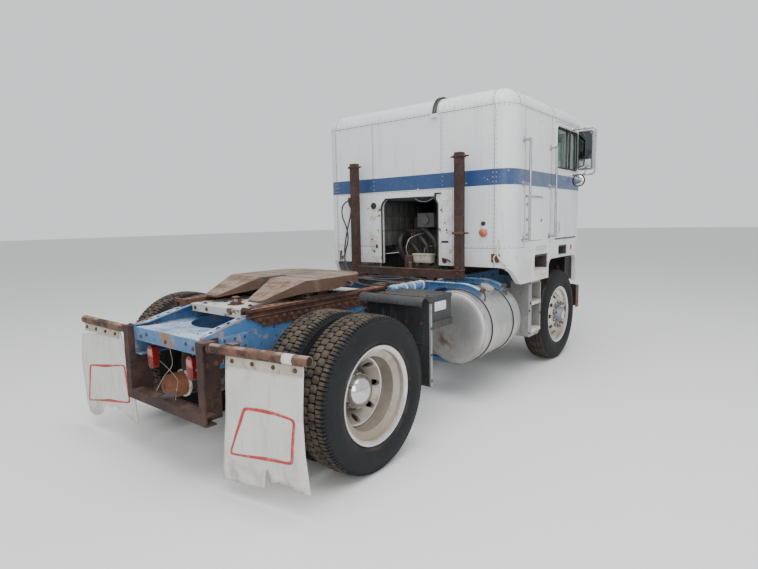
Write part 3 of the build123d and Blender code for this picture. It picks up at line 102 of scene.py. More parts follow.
def add_light():
    """Pale world, one broad lamp overhead and a weaker one behind the camera."""
    world = bpy.data.worlds.new("studio")
    bpy.context.scene.world = world
    world.use_nodes = True
    tree = world.node_tree
    sky = tree.nodes["Background"]
    path = tree.nodes.new("ShaderNodeLightPath")
    straight = path.outputs["Is Camera Ray"]
    for ray in ("Is Transmission Ray", "Is Glossy Ray"):
        either = tree.nodes.new("ShaderNodeMath")
        either.operation = "MAXIMUM"
        tree.links.new(straight, either.inputs[0])
        tree.links.new(path.outputs[ray], either.inputs[1])
        straight = either.outputs[0]
    level = tree.nodes.new("ShaderNodeMapRange")
    level.inputs["To Min"].default_value = SKY_DIM
    level.inputs["To Max"].default_value = 1.0
    tree.links.new(straight, level.inputs["Value"])
    sky.inputs["Color"].default_value = SKY_COLOUR
    tree.links.new(level.outputs["Result"], sky.inputs["Strength"])
    for name, place, size, power in LAMPS:
        data = bpy.data.lights.new(name, "AREA")
        data.size = size
        data.energy = power
        lamp = bpy.data.objects.new(name, data)
        lamp.location = place
        lamp.rotation_mode = "QUATERNION"
        lamp.rotation_quaternion = (Vector((0, 0, 1)) - Vector(place)).to_track_quat("-Z", "Y")
        bpy.context.scene.collection.objects.link(lamp)


def add_floor():
    """Plain pale floor."""
    bpy.ops.mesh.primitive_plane_add(size=160)
    floor = bpy.context.object
    floor.name = "floor"
    paint = Finish("floor_pale", (0.86, 0.86, 0.85), 0.9)
    floor.data.materials.append(paint.done())


# Materials


class Finish:
    """A material built in layers. Each layer covers those below it where its mask is 1."""

    def __init__(self, name, colour, roughness, metallic=0.0):
        self.material = bpy.data.materials.new(name)
        self.material.use_nodes = True
        self.tree = self.material.node_tree
        self.shader = self.tree.nodes["Principled BSDF"]
        self.texture = self.tree.nodes.new("ShaderNodeTexCoord")
        self.colour = colour
        self.roughness = roughness
        self.metallic = metallic
        self.normal = None

    def feed(self, socket, value):
        """Link a socket to an input, or set the input to a number or colour."""
        if isinstance(value, bpy.types.NodeSocket):
            self.tree.links.new(value, socket)
        elif isinstance(value, (tuple, list)) and len(value) == 3 and socket.type == "RGBA":
            socket.default_value = (*value, 1)
        else:
            socket.default_value = value

    def math(self, operation, first, second=0.0, third=0.0):
        """Result of a math node."""
        made = self.tree.nodes.new("ShaderNodeMath")
        made.operation = operation
        for socket, value in zip(made.inputs, (first, second, third)):
            self.feed(socket, value)
        return made.outputs[0]

    def ramp(self, value, low, high, top=1.0):
        """0 at low to top at high, level outside; low may be the larger."""
        made = self.tree.nodes.new("ShaderNodeMapRange")
        made.interpolation_type = "SMOOTHSTEP"
        self.feed(made.inputs["Value"], value)
        made.inputs["From Min"].default_value = low
        made.inputs["From Max"].default_value = high
        made.inputs["To Max"].default_value = top
        return made.outputs["Result"]

    def axis(self, letter):
        """A coordinate of the surface in the frame."""
        made = self.tree.nodes.new("ShaderNodeSeparateXYZ")
        self.tree.links.new(self.texture.outputs["Object"], made.inputs[0])
        return made.outputs[letter]

    def facing(self, letter, low=0.3, high=0.8):
        """1 where the surface faces the positive direction of an axis."""
        made = self.tree.nodes.new("ShaderNodeSeparateXYZ")
        self.tree.links.new(self.texture.outputs["Normal"], made.inputs[0])
        return self.ramp(made.outputs[letter], low, high)

    def noise(self, scale, low, high, top=1.0, stretch=(1, 1, 1), detail=4.0):
        """Blotches: 0 where the noise is under low, top where it is over high."""
        mapping = self.tree.nodes.new("ShaderNodeMapping")
        mapping.inputs["Scale"].default_value = stretch
        self.tree.links.new(self.texture.outputs["Object"], mapping.inputs["Vector"])
        made = self.tree.nodes.new("ShaderNodeTexNoise")
        made.inputs["Scale"].default_value = scale
        made.inputs["Detail"].default_value = detail
        made.inputs["Roughness"].default_value = 0.6
        self.tree.links.new(mapping.outputs[0], made.inputs["Vector"])
        return self.ramp(made.outputs["Fac"], low, high, top)

    def band(self, letter, low, high, soft=0.004):
        """1 between two values of a coordinate."""
        value = self.axis(letter)
        up = self.ramp(value, low - soft, low + soft)
        down = self.ramp(value, high + soft, high - soft)
        return self.math("MULTIPLY", up, down)

    def both(self, *masks):
        """Product of the masks."""
        result = masks[0]
        for mask in masks[1:]:
            result = self.math("MULTIPLY", result, mask)
        return result

    def either(self, *masks):
        """Largest of the masks."""
        result = masks[0]
        for mask in masks[1:]:
            result = self.math("MAXIMUM", result, mask)
        return result

    def blend(self, kind, mask, below, above):
        """A mix node's result."""
        made = self.tree.nodes.new("ShaderNodeMix")
        made.data_type = kind
        inputs = {socket.name: socket for socket in made.inputs if socket.enabled}
        self.feed(inputs["Factor"], mask)
        self.feed(inputs["A"], below)
        self.feed(inputs["B"], above)
        return [socket for socket in made.outputs if socket.enabled][0]

    def layer(self, mask, colour, roughness=None, metallic=None):
        """Cover what is below with a colour, and where given a roughness and a metal share."""
        self.colour = self.blend("RGBA", mask, self.colour, colour)
        if roughness is not None:
            self.roughness = self.blend("FLOAT", mask, self.roughness, roughness)
        if metallic is not None:
            self.metallic = self.blend("FLOAT", mask, self.metallic, metallic)
        return self

    def bump(self, height, strength, distance):
        """Surface relief from a mask."""
        made = self.tree.nodes.new("ShaderNodeBump")
        made.inputs["Strength"].default_value = strength
        made.inputs["Distance"].default_value = distance
        self.tree.links.new(height, made.inputs["Height"])
        if self.normal is not None:
            self.tree.links.new(self.normal, made.inputs["Normal"])
        self.normal = made.outputs["Normal"]
        return self

    def grain(self, scale, strength, distance):
        """Surface relief of one size."""
        return self.bump(self.noise(scale, 0.3, 0.7), strength, distance)

    def tops(self, low, high, *blotches):
        """Blotches on the faces that look up."""
        return self.both(self.facing("Z", low, high), self.noise(*blotches))

    def done(self, **sockets):
        """Join the layers to the shader; more of its own sockets may be set by name."""
        self.feed(self.shader.inputs["Base Color"], self.colour)
        self.feed(self.shader.inputs["Roughness"], self.roughness)
        self.feed(self.shader.inputs["Metallic"], self.metallic)
        if self.normal is not None:
            self.tree.links.new(self.normal, self.shader.inputs["Normal"])
        for name, value in sockets.items():
            self.feed(self.shader.inputs[name.replace("_", " ")], value)
        return self.material


RUST_DARK = (0.075, 0.030, 0.018)
RUST_RED = (0.20, 0.065, 0.028)
DUST = (0.36, 0.29, 0.22)
GRIME = (0.045, 0.042, 0.040)


def cab_paint():
    """Aged white sheet with a blue stripe in a lit and a shaded tone, grime, chips and rust near the torn
    edges.
    """
    f = Finish("cab_white", (0.74, 0.76, 0.77), 0.42)
    f.layer(f.noise(0.9, 0.38, 0.72, 0.8), (0.63, 0.665, 0.695))
    f.layer(f.noise(1.6, 0.42, 0.75, 0.55, (1, 1, 0.35)), (0.78, 0.775, 0.74))
    f.layer(f.noise(7, 0.52, 0.74, 0.32, (3, 3, 0.22)), (0.43, 0.43, 0.41))
    stripe = f.both(f.band("Z", *STRIPE_Z, 0.0015),
                    f.ramp(f.axis("Y"), FRONT_AXLE - 0.60, FRONT_AXLE - 0.57))
    # The stripe's blue turns darker round the back corners onto the back wall: painted light and shade, one
    # paint in a lit and a shaded tone.
    back = f.ramp(f.axis("Y"), BACK_Y - 0.25, BACK_Y - 0.02)
    blue = f.blend("RGBA", back, (0.085, 0.125, 0.225), (0.022, 0.060, 0.170))
    blue = f.blend("RGBA", f.noise(3.5, 0.4, 0.7, 0.6), blue, (0.040, 0.078, 0.175))
    f.layer(f.both(stripe, f.noise(38, 0.74, 0.66)), blue, 0.38)
    f.layer(f.noise(55, 0.60, 0.74, 0.30), (0.40, 0.38, 0.34))
    low = f.ramp(f.axis("Z"), 1.62, 1.08)
    f.layer(f.both(low, f.noise(4, 0.30, 0.75, 0.55)), (0.42, 0.37, 0.30), 0.7)
    near = f.both(f.band("X", -0.62, 0.56, 0.09), f.band("Z", 1.0, 1.88, 0.08), back)
    rust = f.both(near, f.noise(17, 0.61, 0.67))
    edge_rust = f.both(f.ramp(f.axis("Z"), 1.36, 1.20), f.noise(15, 0.64, 0.69))
    rust = f.either(rust, edge_rust, f.noise(33, 0.765, 0.80))
    f.layer(f.both(near, f.noise(9, 0.48, 0.66, 0.55)), (0.46, 0.36, 0.26))
    f.layer(rust, f.blend("RGBA", f.noise(60, 0.4, 0.6), RUST_RED, RUST_DARK), 0.9)
    f.bump(f.noise(2.6, 0.2, 0.8), 0.35, 0.008)
    f.grain(160, 0.05, 0.001)
    return f.done()


def cab_inside():
    """Worn grey vinyl and sound mat."""
    f = Finish("cab_inside_vinyl", (0.085, 0.083, 0.082), 0.75)
    f.layer(f.noise(4, 0.4, 0.7, 0.7), (0.13, 0.125, 0.12))
    f.layer(f.noise(10, 0.55, 0.75, 0.5, (2, 2, 0.3)), (0.19, 0.17, 0.15))
    f.layer(f.both(f.facing("Z"), f.noise(6, 0.35, 0.7, 0.7)), (0.22, 0.18, 0.14), 0.9)
    f.grain(120, 0.2, 0.002)
    return f.done()


def frame_blue():
    """Faded light blue paint, chalky on top and darker towards the bottom, with grime and rust at the edges.
    """
    f = Finish("frame_blue", (0.045, 0.150, 0.340), 0.6)
    f.layer(f.noise(3, 0.35, 0.7, 0.8), (0.100, 0.230, 0.420))
    f.layer(f.tops(0.5, 0.9, 5, 0.28, 0.62, 0.85), (0.50, 0.58, 0.66), 0.75)
    # Darker blue towards the bottom of the rails.
    f.layer(f.both(f.ramp(f.axis("Z"), 0.98, 0.72), f.noise(5, 0.35, 0.62, 0.8)), (0.065, 0.085, 0.12), 0.8)
    f.layer(f.noise(14, 0.56, 0.66, 0.8), (0.30, 0.25, 0.20), 0.85)
    f.layer(f.noise(28, 0.62, 0.68), RUST_RED, 0.9)
    f.layer(f.noise(9, 0.66, 0.70), RUST_DARK, 0.9)
    behind = f.ramp(f.axis("Y"), FRONT_AXLE + 3.84, FRONT_AXLE + 3.92)
    flange = f.both(f.facing("Z", 0.5, 0.9), f.ramp(f.math("ABSOLUTE", f.axis("X")), 0.386, 0.400), behind)
    f.layer(f.both(flange, f.noise(6, 0.62, 0.46)), (0.24, 0.155, 0.105), 0.9)
    fold = f.both(f.band("X", -0.10, 0.06, 0.03),
                  f.ramp(f.axis("Y"), FRONT_AXLE + 4.285, FRONT_AXLE + 4.292))
    f.layer(f.both(fold, f.noise(11, 0.60, 0.45)), (0.26, 0.155, 0.085), 0.9)
    f.grain(80, 0.25, 0.001)
    return f.done()


def rusty_steel():
    """Old steel rusted all over, with darker scale and dusty tops."""
    f = Finish("rusty_steel", (0.036, 0.018, 0.014), 0.85)
    f.layer(f.noise(6, 0.38, 0.66, 0.85), (0.070, 0.032, 0.023))
    f.layer(f.noise(22, 0.50, 0.62, 0.85), (0.022, 0.014, 0.013))
    f.layer(f.noise(70, 0.60, 0.74, 0.6), (0.17, 0.072, 0.036))
    f.layer(f.tops(0.5, 0.9, 8, 0.35, 0.65, 0.6), (0.17, 0.105, 0.072), 0.95)
    pipe = f.both(f.ramp(f.math("ABSOLUTE", f.axis("X")), 0.512, 0.525), f.ramp(f.axis("Z"), 0.965, 0.955),
                  f.ramp(f.axis("Z"), 0.870, 0.880))
    f.layer(f.both(pipe, f.noise(9, 0.62, 0.42, 0.9)), (0.17, 0.086, 0.055), 0.8)
    f.layer(f.both(pipe, f.facing("Z", 0.5, 0.95), f.noise(12, 0.4, 0.6)), (0.30, 0.21, 0.165), 0.7)
    f.grain(90, 0.45, 0.0015)
    return f.done()


def slide_steel():
    """Rusty slotted rails round a plate that keeps most of its white paint."""
    f = Finish("slide_steel", (0.060, 0.027, 0.019), 0.85)
    f.layer(f.noise(6, 0.38, 0.66, 0.85), (0.115, 0.050, 0.031))
    f.layer(f.noise(22, 0.50, 0.62, 0.85), (0.030, 0.018, 0.015))
    f.layer(f.tops(0.5, 0.9, 8, 0.30, 0.62, 0.75), (0.27, 0.135, 0.075), 0.95)
    plate = f.both(f.band("X", -0.362, 0.362, 0.012), f.ramp(f.axis("Z"), 1.066, 1.064))
    f.layer(f.both(plate, f.noise(7, 0.64, 0.58)), (0.52, 0.52, 0.50), 0.7)
    f.layer(f.both(plate, f.noise(14, 0.52, 0.66, 0.8)), (0.30, 0.22, 0.16), 0.85)
    f.grain(90, 0.45, 0.0015)
    return f.done()


def bumper_steel():
    """Dark painted bumper, rusted through at its lower edge."""
    f = Finish("bumper_dark", (0.050, 0.040, 0.036), 0.6)
    f.layer(f.noise(5, 0.4, 0.7, 0.8), (0.11, 0.07, 0.05))
    f.layer(f.both(f.ramp(f.axis("Z"), 0.68, 0.54), f.noise(12, 0.4, 0.6)), RUST_RED, 0.9)
    f.layer(f.noise(30, 0.58, 0.68), RUST_DARK, 0.9)
    f.grain(90, 0.3, 0.0012)
    return f.done()


def fifth_wheel_steel():
    """Cast steel: scraped tan top, brown rust and old grease."""
    f = Finish("fifth_wheel_steel", (0.125, 0.071, 0.046), 0.62)
    f.layer(f.noise(5, 0.36, 0.66, 0.85), (0.185, 0.124, 0.085), 0.55)
    scraped = f.tops(0.7, 0.95, 3, 0.42, 0.6, 0.7, (0.4, 3, 1))
    f.layer(scraped, (0.275, 0.207, 0.155), 0.42)
    f.layer(f.noise(11, 0.54, 0.64, 0.85), (0.165, 0.066, 0.033), 0.8)
    f.layer(f.both(f.band("X", -0.12, 0.12, 0.05), f.noise(7, 0.35, 0.6, 0.8)), (0.060, 0.042, 0.034), 0.5)
    f.layer(f.noise(26, 0.52, 0.66, 0.55), (0.115, 0.070, 0.048), 0.7)
    f.layer(f.tops(0.5, 0.2, 6, 0.3, 0.5, 0.8), (0.082, 0.042, 0.027), 0.85)
    f.layer(f.noise(40, 0.6, 0.7, 0.8), (0.045, 0.033, 0.029), 0.5)
    scratch = f.tops(0.7, 0.95, 5, 0.60, 0.63, 0.7, (3, 0.5, 1))
    f.layer(scratch, (0.075, 0.052, 0.042), 0.6)
    f.grain(60, 0.5, 0.0015)
    f.grain(9, 0.5, 0.006)
    return f.done()


def dark_steel():
    """Oily running gear: near black, brown dust on top, rust along the edges."""
    f = Finish("dark_steel", GRIME, 0.62)
    f.layer(f.noise(7, 0.4, 0.68, 0.85), (0.095, 0.075, 0.062), 0.8)
    f.layer(f.noise(18, 0.55, 0.66, 0.8), (0.15, 0.085, 0.055), 0.85)
    f.layer(f.tops(0.3, 0.9, 6, 0.35, 0.62, 0.75), (0.22, 0.17, 0.13), 0.95)
    f.grain(70, 0.4, 0.002)
    return f.done()


def tank_metal():
    """Brushed aluminium gone dull, with stains running round the tank and down its head."""
    f = Finish("tank_aluminium", (0.46, 0.46, 0.455), 0.42, 0.85)
    f.layer(f.noise(6, 0.35, 0.7, 0.7, (1, 6, 1)), (0.34, 0.34, 0.335), 0.5)
    f.layer(f.noise(3, 0.40, 0.7, 0.7, (1, 1, 0.4)), (0.56, 0.555, 0.54), 0.36)
    low = f.both(f.ramp(f.axis("Z"), 0.62, 0.38), f.noise(4, 0.3, 0.65, 0.75))
    f.layer(low, (0.28, 0.235, 0.185), 0.75, 0.3)
    f.layer(f.noise(24, 0.58, 0.72, 0.6, (1, 1, 0.35)), (0.20, 0.18, 0.16), 0.7, 0.4)
    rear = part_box("fuel_tanks")[1].y
    for side_x in (-0.79, 0.86):
        patch = f.both(f.band("X", side_x - 0.10, side_x + 0.07, 0.06), f.band("Z", 0.50, 0.65, 0.07),
                       f.ramp(f.axis("Y"), rear - 0.10, rear - 0.05), f.noise(13, 0.38, 0.55))
        f.layer(patch, (0.13, 0.065, 0.040), 0.85, 0.1)
    f.bump(f.noise(30, 0.3, 0.7, 1.0, (1, 14, 1)), 0.06, 0.001)
    return f.done()


def step_metal():
    """Grey cast aluminium, dusty."""
    f = Finish("step_aluminium", (0.30, 0.305, 0.30), 0.6, 0.55)
    f.layer(f.noise(5, 0.35, 0.7, 0.7), (0.40, 0.40, 0.385), 0.55)
    f.layer(f.noise(9, 0.5, 0.7, 0.7, (2, 2, 0.4)), (0.20, 0.19, 0.17), 0.8, 0.1)
    f.layer(f.tops(0.4, 0.9, 5, 0.3, 0.6, 0.8), DUST, 0.95, 0.0)
    f.layer(f.noise(34, 0.64, 0.70, 0.8), RUST_RED, 0.9, 0.0)
    f.grain(70, 0.2, 0.001)
    return f.done()


def wheel_metal(name, shine):
    """Polished wheel, dusty low down, with grime round the hand holes and nuts."""
    f = Finish(name, (0.62, 0.60, 0.57), shine, 0.9)
    f.layer(f.noise(5, 0.38, 0.7, 0.6), (0.50, 0.475, 0.44), shine + 0.15)
    low = f.both(f.ramp(f.axis("Z"), 0.50, 0.26), f.noise(5, 0.25, 0.6, 0.85))
    f.layer(low, (0.36, 0.285, 0.21), 0.8, 0.15)
    f.layer(f.noise(16, 0.55, 0.70, 0.55), (0.25, 0.19, 0.14), 0.75, 0.2)
    if name.startswith("rear"):
        f.layer(f.both(f.noise(4, 0.2, 0.6, 0.75), f.ramp(f.math("ABSOLUTE", f.axis("X")), 1.165, 1.155)),
                (0.30, 0.250, 0.195), 0.55, 0.5)
    f.grain(60, 0.06, 0.0008)
    return f.done()


def bright_metal():
    """Dull plated tube, with rust at its feet."""
    f = Finish("bright_metal", (0.44, 0.45, 0.47), 0.28, 1.0)
    f.layer(f.noise(8, 0.4, 0.7, 0.6), (0.30, 0.30, 0.31), 0.4)
    f.layer(f.noise(26, 0.60, 0.68, 0.85), (0.17, 0.10, 0.07), 0.85, 0.1)
    return f.done()


def black_plastic():
    """Faded black moulding with pale scuffs and dust."""
    f = Finish("black_plastic", (0.022, 0.023, 0.025), 0.55)
    f.layer(f.noise(4, 0.35, 0.7, 0.7), (0.045, 0.046, 0.050), 0.65)
    f.layer(f.noise(16, 0.54, 0.72, 0.5, (2, 2, 0.3)), (0.13, 0.12, 0.11), 0.8)
    f.layer(f.tops(0.3, 0.9, 5, 0.36, 0.70, 0.5), (0.085, 0.077, 0.068), 0.85)
    f.grain(90, 0.2, 0.001)
    return f.done()


def flap_rubber():
    """White painted rubber, grey with road film, cracked and brown along the bottom."""
    f = Finish("flap_rubber", (0.66, 0.65, 0.62), 0.7)
    f.layer(f.noise(3, 0.35, 0.7, 0.8), (0.56, 0.55, 0.52))
    f.layer(f.noise(8, 0.50, 0.74, 0.5, (2.5, 2.5, 0.35)), (0.40, 0.385, 0.36), 0.85)
    f.layer(f.both(f.ramp(f.axis("Z"), 0.36, 0.14), f.noise(7, 0.36, 0.66, 0.7)), (0.30, 0.26, 0.22), 0.95)
    f.layer(f.noise(34, 0.66, 0.74, 0.6), (0.17, 0.15, 0.13), 0.9)
    f.grain(50, 0.3, 0.0015)
    return f.done()


def tyre_rubber(name, dust, axle_y):
    """Black rubber: grey bloom on the walls, brown dust on the tread's tops."""
    f = Finish(name, (0.0075, 0.0080, 0.0095), 0.72)
    f.layer(f.noise(5, 0.35, 0.7, 0.7), (0.015, 0.016, 0.018), 0.8)
    f.layer(f.noise(14, 0.55, 0.75, 0.35), (0.036, 0.034, 0.031), 0.88)
    across = f.math("SUBTRACT", f.axis("Y"), axle_y)
    up = f.math("SUBTRACT", f.axis("Z"), AXLE_Z)
    radial = f.math("SQRT", f.math("ADD", f.math("MULTIPLY", across, across), f.math("MULTIPLY", up, up)))
    f.layer(f.both(f.ramp(radial, 0.5165, 0.5235), f.noise(9, 0.24, 0.66, dust)),
            (0.105, 0.081, 0.060), 0.95)
    f.layer(f.both(f.ramp(radial, 0.500, 0.5165), f.noise(60, 0.58, 0.66, 0.5)), (0.20, 0.155, 0.11), 0.95)
    f.layer(f.both(f.ramp(radial, 0.372, 0.350), f.noise(8, 0.35, 0.65, 0.5)), (0.075, 0.058, 0.043), 0.9)
    f.grain(120, 0.25, 0.001)
    return f.done(Specular_IOR_Level=0.3)


def window_glass():
    """Old laminated glass with a green tint, dusty at the edges."""
    f = Finish("window_glass", (0.40, 0.58, 0.50), 0.06)
    f.layer(f.noise(7, 0.5, 0.75, 0.35), (0.55, 0.57, 0.52), 0.35)
    return f.done(Transmission_Weight=0.92, IOR=1.45, Alpha=0.9)


def lamp_plastic(name, colour):
    """Moulded lens with dull patches."""
    f = Finish(name, colour, 0.22)
    f.layer(f.noise(30, 0.45, 0.7, 0.6), tuple(c * 0.55 for c in colour), 0.55)
    f.grain(220, 0.2, 0.0008)
    return f.done()


def seat_cloth(name, colour):
    """Woven seat cover, worn pale on top."""
    f = Finish(name, colour, 0.95)
    f.layer(f.noise(9, 0.45, 0.7, 0.6), tuple(c * 1.7 for c in colour))
    f.layer(f.both(f.facing("Z"), f.noise(12, 0.4, 0.7, 0.5)), tuple(c * 2.4 for c in colour))
    weave = f.tree.nodes.new("ShaderNodeTexWave")
    weave.inputs["Scale"].default_value = 160
    f.tree.links.new(f.texture.outputs["Object"], weave.inputs["Vector"])
    f.bump(weave.outputs["Fac"], 0.4, 0.001)
    return f.done(Sheen_Weight=0.3)


def hose_rubber():
    """Black hose, dusty and slightly shiny."""
    f = Finish("hose_rubber", (0.018, 0.018, 0.019), 0.5)
    f.layer(f.noise(14, 0.45, 0.7, 0.6), (0.075, 0.07, 0.062), 0.8)
    f.grain(140, 0.2, 0.0008)
    return f.done()


def plain(name, colour, roughness, metallic, marks, share, scale, relief=0.15):
    """Small-part finish: two tones of one colour, marks over it and a fine relief."""
    f = Finish(name, colour, roughness, metallic)
    f.layer(f.noise(scale * 0.4, 0.35, 0.7, 0.6), tuple(min(1.0, c * 1.35 + 0.01) for c in colour))
    f.layer(f.noise(scale, 0.52, 0.70, share), marks, min(1.0, roughness + 0.25), metallic * 0.3)
    f.grain(scale * 6, relief, 0.0008)
    return f.done()


def mirror_glass(name, colour):
    """Silvered glass with dull spots."""
    f = Finish(name, colour, 0.04, 1.0)
    f.layer(f.noise(12, 0.55, 0.75, 0.4), tuple(c * 0.6 for c in colour), 0.4, 0.4)
    return f.done()


PLAIN = {
    # material: slot of the record, name of the finish, colour, roughness, metal share,
    # colour of its marks, their share and scale, and where given the height of its relief
    "gasket": ("black_plastic", "gasket_black", (0.014, 0.014, 0.015), 0.65, 0.0,
               (0.07, 0.06, 0.05), 0.5, 18),
    # Lap lines are dark for dirt in the joints and for painted shadow under the lapped sheet edges.
    "seam": ("cab_paint", "lap_grime_and_shadow", (0.085, 0.082, 0.078), 0.9, 0.0, (0.30, 0.22, 0.16), 0.6, 30),
    "chrome": ("bright_metal", "chrome_plate", (0.56, 0.56, 0.57), 0.10, 1.0, (0.30, 0.24, 0.19), 0.25, 18),
    # Near-black discs standing in for the shade inside holes and open pipe ends: painted shade.
    "hole_painted_shade": ("dark_steel", "hole_painted_shade", (0.003, 0.003, 0.003), 1.0, 0.0,
                   (0.020, 0.014, 0.010), 0.4, 18),
    "hub_grey": ("grey_aluminium", "hub_grey", (0.20, 0.22, 0.25), 0.5, 0.4, (0.08, 0.06, 0.05), 0.7, 30),
    # Rivet heads are grey, darker than the white sheet: dirt on the heads, and painted shade round their
    # rims.
    "rivet": ("cab_paint", "rivet_head", (0.36, 0.36, 0.355), 0.6, 0.0, (0.14, 0.10, 0.08), 0.6, 90),
    "cream": ("cab_paint", "cream_tread", (0.55, 0.53, 0.44), 0.75, 0.0, (0.26, 0.20, 0.14), 0.7, 30),
    "old_bolt": ("rusty_steel", "old_bolt", (0.085, 0.038, 0.025), 0.85, 0.0,
                 (0.045, 0.028, 0.022), 0.8, 60),
    "dark_iron": ("dark_steel", "dark_iron", (0.035, 0.032, 0.030), 0.6, 0.0, (0.12, 0.07, 0.045), 0.6, 30),
    "sound_mat": ("cab_inside", "sound_mat", (0.095, 0.094, 0.092), 0.85, 0.0, (0.20, 0.18, 0.16),
                  0.6, 9, 0.5),
    "tan_paint": ("cab_inside", "tan_paint", (0.40, 0.37, 0.30), 0.8, 0.0, (0.17, 0.13, 0.09), 0.7, 22),
    "lens": ("window_glass", "lens_clear", (0.72, 0.74, 0.74), 0.12, 0.0, (0.50, 0.48, 0.42), 0.3, 12),
    "lamp_pink": ("lamp_red", "lamp_pink", (0.40, 0.17, 0.16), 0.75, 0.0, (0.30, 0.10, 0.09), 0.5, 40),
    "sign_white": ("flap_rubber", "sign_white", (0.62, 0.64, 0.62), 0.6, 0.0, (0.36, 0.34, 0.30), 0.5, 14),
    "flap_red": ("flap_rubber", "flap_red", (0.42, 0.045, 0.038), 0.75, 0.0, (0.48, 0.34, 0.31), 0.55, 34),
    "cup_orange": ("rusty_steel", "cup_orange", (0.23, 0.088, 0.045), 0.8, 0.0,
                   (0.10, 0.042, 0.026), 0.7, 26),
    "tape_silver": ("bright_metal", "tape_silver", (0.60, 0.61, 0.60), 0.35, 0.5,
                    (0.25, 0.19, 0.15), 0.5, 40),
}
MATERIALS = {
    "cab_paint": cab_paint(), "cab_inside": cab_inside(), "frame_paint": frame_blue(),
    "rusty_steel": rusty_steel(), "slide_steel": slide_steel(), "bumper_steel": bumper_steel(),
    "fifth_wheel_steel": fifth_wheel_steel(),
    "dark_steel": dark_steel(), "tank_aluminium": tank_metal(), "grey_aluminium": step_metal(),
    "front_wheel": wheel_metal("front_wheel_metal", 0.22),
    "rear_wheel": wheel_metal("rear_wheel_metal", 0.34),
    "bright_metal": bright_metal(), "black_plastic": black_plastic(), "flap_rubber": flap_rubber(),
    "front_tyre": tyre_rubber("front_tyre_rubber", 0.6, FRONT_AXLE),
    "rear_tyre": tyre_rubber("rear_tyre_rubber", 0.9, REAR_AXLE),
    "window_glass": window_glass(),
    "lamp_red": lamp_plastic("lamp_red", (0.20, 0.012, 0.010)),
    "lamp_amber": lamp_plastic("lamp_amber", (0.48, 0.125, 0.055)),
    "seat_fabric": seat_cloth("seat_cloth", (0.070, 0.062, 0.058)),
    "hose_rubber": hose_rubber(),
    "mirror_glass": mirror_glass("mirror_glass", (0.60, 0.66, 0.64)),
    # The tall mirror's glass is near black: a painted reflection of the dark things it faces.
    "reflection_painted_mirror": mirror_glass("dark_mirror_glass", (0.075, 0.085, 0.090)),
    "mattress": seat_cloth("mattress_cloth", (0.17, 0.16, 0.15)),
    **{key: plain(*values) for key, (_, *values) in PLAIN.items()},
}
SLOT_OF = {
    # material: slot of the record, where the two names differ
    "slide_steel": "rusty_steel", "front_tyre": "tyre_rubber", "rear_tyre": "tyre_rubber",
    "mirror_glass": "window_glass", "reflection_painted_mirror": "window_glass",
    **{key: values[0] for key, values in PLAIN.items()},
}

NODE_MATERIALS = [
    # material, nodes that take it
    ("cab_paint", ["cab_roof", "cab_back", "cab_sides", "cab_front", "door_left", "door_right",
                   "hatch_left", "hatch_right"]),
    ("cab_inside", ["cab_floor", "dashboard"]),
    ("frame_paint", ["frame_rails", "crossmembers", "tank_brackets", "air_tanks", "steering_gear"]),
    ("rusty_steel", ["tail_frame", "stack_posts", "fifth_wheel_carriage"]),
    ("slide_steel", ["slide_rails"]),
    ("bumper_steel", ["bumper"]),
    ("fifth_wheel_steel", ["fifth_wheel_plate"]),
    ("dark_steel", ["front_axle", "rear_axle", "leaf_springs", "engine", "radiator", "driveshaft",
                    "pitman_arm", "drag_link", "tie_rod", "knuckle_left", "knuckle_right"]),
    ("tank_aluminium", ["fuel_tanks"]),
    ("grey_aluminium", ["cab_steps", "grille"]),
    ("front_wheel", ["front_wheel_left", "front_wheel_right"]),
    ("rear_wheel", ["rear_wheels_left", "rear_wheels_right"]),
    ("bright_metal", ["grab_rails", "mirror_left", "mirror_right"]),
    ("black_plastic", ["battery_box", "rear_fenders", "arch_liners"]),
    ("flap_rubber", ["mud_flaps"]),
    ("front_tyre", ["front_tyre_left", "front_tyre_right"]),
    ("rear_tyre", ["rear_tyres_left", "rear_tyres_right"]),
    ("window_glass", ["windshield", "door_glass_left", "door_glass_right", "headlamps"]),
    ("lamp_red", ["tail_lamps"]),
    ("lamp_amber", ["marker_lamps"]),
    ("seat_fabric", ["seats", "bunk"]),
    ("hose_rubber", ["roof_hoses", "trailer_hoses"]),
]


def paint_nodes():
    """Give every node its material."""
    for material, names in NODE_MATERIALS:
        for name in names:
            mesh = NODES[name].data
            mesh.materials.clear()
            mesh.materials.append(MATERIALS[material])


# Mesh building

X = Vector((1, 0, 0))
Y = Vector((0, 1, 0))
Z = Vector((0, 0, 1))


def span(centre, half):
    """Low and high value round a middle one."""
    return centre - half, centre + half


def steps(start, pitch, count):
    """Evenly spaced values."""
    return tuple(start + k * pitch for k in range(count))


def spokes(count, shift=0.0):
    """Cosine and sine of evenly spaced turns."""
    for k in range(count):
        turn = 2 * math.pi * (k + shift) / count
        yield math.cos(turn), math.sin(turn)


def smooth_line(points, cells):
    """Points along a smooth curve through the given ones."""
    if len(points) < 3:
        return points
    line = []
    padded = [2 * points[0] - points[1]] + points + [2 * points[-1] - points[-2]]
    for a, b, c, d in zip(padded, padded[1:], padded[2:], padded[3:]):
        for k in range(cells):
            t = k / cells
            line.append(0.5 * (2 * b + (c - a) * t + (2 * a - 5 * b + 4 * c - d) * t * t
                               + (3 * b - a - 3 * c + d) * t * t * t))
    return line + [points[-1]]


